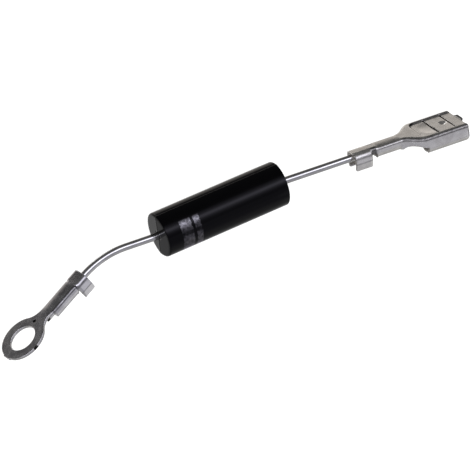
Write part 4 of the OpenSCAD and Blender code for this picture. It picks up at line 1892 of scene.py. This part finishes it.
    def loops(self) -> list[Loop]:
        """Outline of the tongue, rolls, throat and wings, and the two slots.

        Returns:
            The outlines, with the sheet on their left.
        """
        side, length, _ = self.curl
        flat, arc = (float(k[0]) for k in self.flare(np.array([self.front])))
        roll = flat + arc + side + length
        start, end = (flat + k for k in self.end_span)
        across = np.linspace(start, roll - self.lip_trim, self.end_steps)
        trim = self.end_trim(across, flat, arc) * smooth(across, start, end)
        rear_trim = np.where(across > flat + arc + side, trim, 0.0)
        throat = np.linspace(
            self.roll_x - self.throat_trim, self.wire_end + self.throat_trim, self.throat_steps
        )
        wall = self.wall_edge(throat)
        tip_corner, root_corner = self.tongue_corners
        upper = [
            (self.front + self.tongue_len, self.tongue_w / 2 - self.tongue_len, tip_corner),
            (self.front, self.tongue_w / 2, root_corner),
        ]
        upper += [(self.front - float(d), float(s), 0.0) for s, d in zip(across, trim)]
        beyond = across > wall[0] + self.wall_clear
        behind = zip(across[beyond][::-1], rear_trim[beyond][::-1])
        upper += [(self.roll_x + float(d), float(s), 0.0) for s, d in behind]
        upper += [(x, float(v), 0.0) for x, v in zip(throat, wall)] + self.crimp_corners()
        front_slot = self.stop_x + self.slot_w + self.spring_len
        return [rounded(mirrored(upper), self.step), self.slot(self.stop_x), self.slot(front_slot)]


@dataclass
class InnerStack:
    """The chips, solder layers and coating that the body hides, carried over from the solids."""

    finishes: dict[str, InnerFinish] = field(default_factory=lambda: {
        "silicon_chips": InnerFinish("silicon_wafer", (0.16, 0.17, 0.21), (0.09, 0.1, 0.13), 0.15, 0.6),
        "solder_layers": InnerFinish("dull_solder", (0.62, 0.63, 0.65), (0.48, 0.49, 0.5), 0.45, 1.0),
        "junction_coating": InnerFinish("cured_coating", (0.78, 0.74, 0.63), (0.7, 0.65, 0.53), 0.6),
    })

    def dress(self) -> None:
        """Give each hidden node its finish."""
        for node, finish in self.finishes.items():
            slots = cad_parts[node].data.materials
            slots.clear()
            slots.append(finish.material())
            LOG.info("dressed %s", node)


NEUTRAL = (1.0, 1.0, 1.0)
COOL = (0.95, 0.95, 1.06)
WARM = (1.06, 1.0, 0.94)


@dataclass
class Studio:
    """White floor, surrounding light and the camera at the photograph's angle."""

    pose: Pose
    right: Triple = (0.8615, -0.2805, 0.423)
    toward: Triple = (-0.344, 0.2907, 0.893)
    distance: float = 600.0
    focal_px: float = 3743.0
    image_px: int = 470
    body_px: Pair = (219.12, 208.98)
    sensor: float = 36.0
    ambient: float = 1.5
    glow: float = 0.85
    strips: tuple[tuple[float, float, Triple], ...] = (
        (-180.0, 0.42, NEUTRAL), (-145.0, 0.45, NEUTRAL), (-108.0, 0.8, NEUTRAL), (-75.0, 0.72, WARM),
        (-57.0, 0.78, WARM), (-51.0, 0.62, WARM), (-45.0, 0.15, NEUTRAL), (-37.0, 0.11, NEUTRAL),
        (0.0, 0.12, NEUTRAL), (30.0, 0.11, NEUTRAL), (42.0, 0.2, NEUTRAL), (52.0, 0.9, COOL),
        (60.0, 1.8, COOL), (66.0, 3.9, COOL), (72.0, 3.9, COOL), (77.0, 2.2, COOL), (84.0, 1.1, COOL),
        (92.0, 0.5, COOL), (101.0, 0.32, COOL), (112.0, 0.5, COOL), (126.0, 0.44, COOL),
        (134.0, 0.42, COOL), (143.0, 0.42, COOL), (152.0, 0.48, COOL), (166.0, 0.54, NEUTRAL),
        (180.0, 0.42, NEUTRAL),
    )
    lamps: tuple[tuple[Triple, float, float, float], ...] = (
        ((0.1, 0.72, -0.69), 5.0, 11.0, 2.2), ((0.55, -0.6, 0.58), 6.0, 15.0, 0.36),
        ((0.6, -0.79, 0.05), 8.0, 17.0, 0.4),
    )
    shade: Triple = (-0.45, -0.25, 0.4)
    shade_below: Pair = (-0.7, -0.85)
    floor_half: float = 3.0
    floor_tones: Pair = (0.28, 0.3)
    floor_rough: float = 0.9
    floor_cloud: Cloud = Cloud(4.0)
    clip: Pair = (0.01, 20.0)

    def floor(self) -> None:
        """Lay a wide white floor under the part."""
        size = self.floor_half
        mesh = bpy.data.meshes.new("floor")
        corners = [(x * size, y * size, 0.0) for x, y in ((-1, -1), (1, -1), (1, 1), (-1, 1))]
        mesh.from_pydata(corners, [], [(0, 1, 2, 3)])
        plane = bpy.data.objects.new("floor", mesh)
        bpy.context.scene.collection.objects.link(plane)
        shader = Shader("white_floor")
        cloud = shader.cloud(shader.place(), self.floor_cloud)
        mesh.materials.append(shader.complete(
            Base_Color=shader.mix(cloud, *((tone,) * 3 for tone in self.floor_tones)),
            Roughness=self.floor_rough,
            Specular_IOR_Level=0.0,
            Emission_Color=NEUTRAL,
            Emission_Strength=self.glow,
        ))
        plane.visible_glossy = False

    def strip_colours(self, nodes: Nodes, parts: bpy.types.NodeOutputs) -> Socket:
        """Colours of the strips round the body's axis.

        Args:
            nodes: Node tree of the surroundings.
            parts: Parts of the direction.

        Returns:
            The colour, as a share of the brightest strip.
        """
        angle = nodes.sum("ARCTAN2", parts["Z"], parts["Y"])
        ramp = nodes.make("ShaderNodeValToRGB")
        nodes.link(nodes.span(angle, -math.pi, math.pi, 0.0, 1.0, Ease.LINEAR), ramp.inputs["Fac"])
        marks, peak = ramp.color_ramp.elements, self.peak()
        while len(marks) < len(self.strips):
            marks.new(0.5)
        for mark, (at, level, tint) in zip(marks, self.strips):
            mark.position = (at + 180.0) / 360.0
            mark.color = (*(level * k / peak for k in tint), 1.0)
        return ramp.outputs["Color"]

    def strip_light(self, nodes: Nodes) -> Socket:
        """Colour of the long strip lights and dark gaps that lie along the body, with lamps between them.

        Args:
            nodes: Node tree of the surroundings.

        Returns:
            The colour, as a share of the brightest strip.
        """
        way = nodes.make("ShaderNodeTexCoord").outputs["Generated"]
        parts = nodes.split(way)
        start, end, left = self.shade
        low = nodes.span(parts["Z"], *self.shade_below, 0.0, 1.0, Ease.LINEAR)
        side = nodes.span(parts["X"], start, end, left, 1.0, Ease.LINEAR)
        shade = nodes.make("ShaderNodeMix", data_type="FLOAT")
        for number, value in zip((0, *NUMBER_INPUTS), (low, 1.0, side)):
            nodes.feed(shade.inputs[number], value)
        dim = nodes.make("ShaderNodeVectorMath", operation="SCALE")
        nodes.link(self.strip_colours(nodes, parts), dim.inputs[0])
        nodes.link(shade.outputs[0], dim.inputs["Scale"])
        total = dim.outputs["Vector"]
        for place, core, rim, level in self.lamps:
            near = nodes.make("ShaderNodeVectorMath", operation="DOT_PRODUCT")
            nodes.link(way, near.inputs[0])
            near.inputs[1].default_value = Vector(place).normalized()
            ends = (math.cos(math.radians(angle)) for angle in (rim, core))
            lit = nodes.span(near.outputs["Value"], *ends, 0.0, level / self.peak())
            add = nodes.make("ShaderNodeVectorMath", operation="ADD")
            nodes.link(total, add.inputs[0])
            nodes.link(lit, add.inputs[1])
            total = add.outputs["Vector"]
        return total

    def peak(self) -> float:
        """Level of the brightest strip."""
        return max(level * max(tint) for _, level, tint in self.strips)

    def surroundings(self) -> None:
        """White light from all round, with strip lights for what shiny surfaces mirror."""
        world = bpy.data.worlds.new("studio")
        bpy.context.scene.world = world
        world.use_nodes = True
        nodes = Nodes(world.node_tree)
        mirrored_light, soft_light = (nodes.make("ShaderNodeBackground") for _ in range(2))
        nodes.fill(mirrored_light, {"Color": self.strip_light(nodes), "Strength": self.peak()})
        nodes.fill(soft_light, {"Color": NEUTRAL, "Strength": self.ambient})
        ray = nodes.make("ShaderNodeLightPath").outputs["Is Glossy Ray"]
        blend, out = nodes.make("ShaderNodeMixShader"), nodes.make("ShaderNodeOutputWorld")
        for number, source in enumerate((ray, soft_light.outputs[0], mirrored_light.outputs[0])):
            nodes.link(source, blend.inputs[number])
        nodes.link(blend.outputs[0], out.inputs["Surface"])

    def camera(self) -> None:
        """Set the camera so that the body's middle falls on its pixel of the photograph."""
        toward = Vector(self.toward).normalized()
        right = Vector(self.right)
        right = (right - right.dot(toward) * toward).normalized()
        up = toward.cross(right)
        middle = self.pose.body().to_translation()
        place = middle + toward * self.distance
        half = self.image_px / 2
        over, down = ((half - k) / self.focal_px for k in self.body_px)
        aim = -toward + right * over - up * down
        back = -aim.normalized()
        right = (right - right.dot(back) * back).normalized()
        up = back.cross(right)
        turned = Matrix((right, up, back)).transposed().to_4x4()
        lens = bpy.data.cameras.new("camera")
        lens.sensor_width = self.sensor
        lens.lens = self.focal_px / self.image_px * self.sensor
        lens.clip_start, lens.clip_end = self.clip
        eye = bpy.data.objects.new("camera", lens)
        eye.matrix_world = Matrix.Translation(place * MM) @ turned
        bpy.context.scene.collection.objects.link(eye)
        bpy.context.scene.camera = eye

    def build(self) -> None:
        """Set up floor, light and camera."""
        self.floor()
        self.surroundings()
        self.camera()
        bpy.context.scene.view_settings.view_transform = "Standard"


LEAD_TIN = TinnedFinish(
    "drawn_lead", tin=(0.54, 0.535, 0.535), smudge=(0.46, 0.455, 0.455), edge=(0.04, 0.035, 0.03),
    rough=Cloud(900.0, 4.0, span=(0.3, 0.7), ends=(0.12, 0.2)), lines=(0.6, 9.0, 9.0), line_depth=0.000006,
)
RING_TIN = TinnedFinish(
    "ring_tin", tin=(0.57, 0.56, 0.58), smudge=(0.44, 0.43, 0.45), edge=(0.55, 0.54, 0.54),
    rough=Cloud(900.0, 4.0, span=(0.3, 0.7), ends=(0.16, 0.26)), lines=(0.8, 7.0, 1.0), line_depth=0.000005,
)
RECEPTACLE_TIN = TinnedFinish(
    "receptacle_tin", tin=(0.72, 0.705, 0.685), smudge=(0.62, 0.6, 0.58), edge=(0.34, 0.32, 0.3),
    rough=Cloud(900.0, 4.0, span=(0.3, 0.7), ends=(0.2, 0.3)), lines=(0.8, 7.0, 1.0), line_depth=0.000005,
)
LEAD_STUB = 1.6


def main() -> None:
    """Build and dress every piece."""
    logging.basicConfig(level=logging.INFO, format="%(message)s")
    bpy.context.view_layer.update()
    pose = Pose()
    body = MouldedBody(pose)
    piece = body.build()
    body.dress(piece)
    LOG.info("built %s", piece.name)
    ring, receptacle = RingTerminal(), Receptacle()
    wire = LEAD_TIN.material()
    reaches = {
        Side.CATHODE: ring.wire_end + LEAD_STUB,
        Side.ANODE: pose.anode_reach + receptacle.wire_end + LEAD_STUB,
    }
    for side, reach in reaches.items():
        lead = FormedLead(pose, side, reach)
        piece = lead.build(wire)
        lead.dress(piece)
        LOG.info("built %s", piece.name)
    terminals = ((Side.CATHODE, ring, RING_TIN), (Side.ANODE, receptacle, RECEPTACLE_TIN))
    for side, terminal, finish in terminals:
        piece = terminal.build(pose.terminal(side))
        terminal.dress(piece, finish)
        LOG.info("built %s with %d faces", piece.name, len(piece.data.polygons))
    InnerStack().dress()
    Studio(pose).build()


if __name__ == "__main__":
    main()
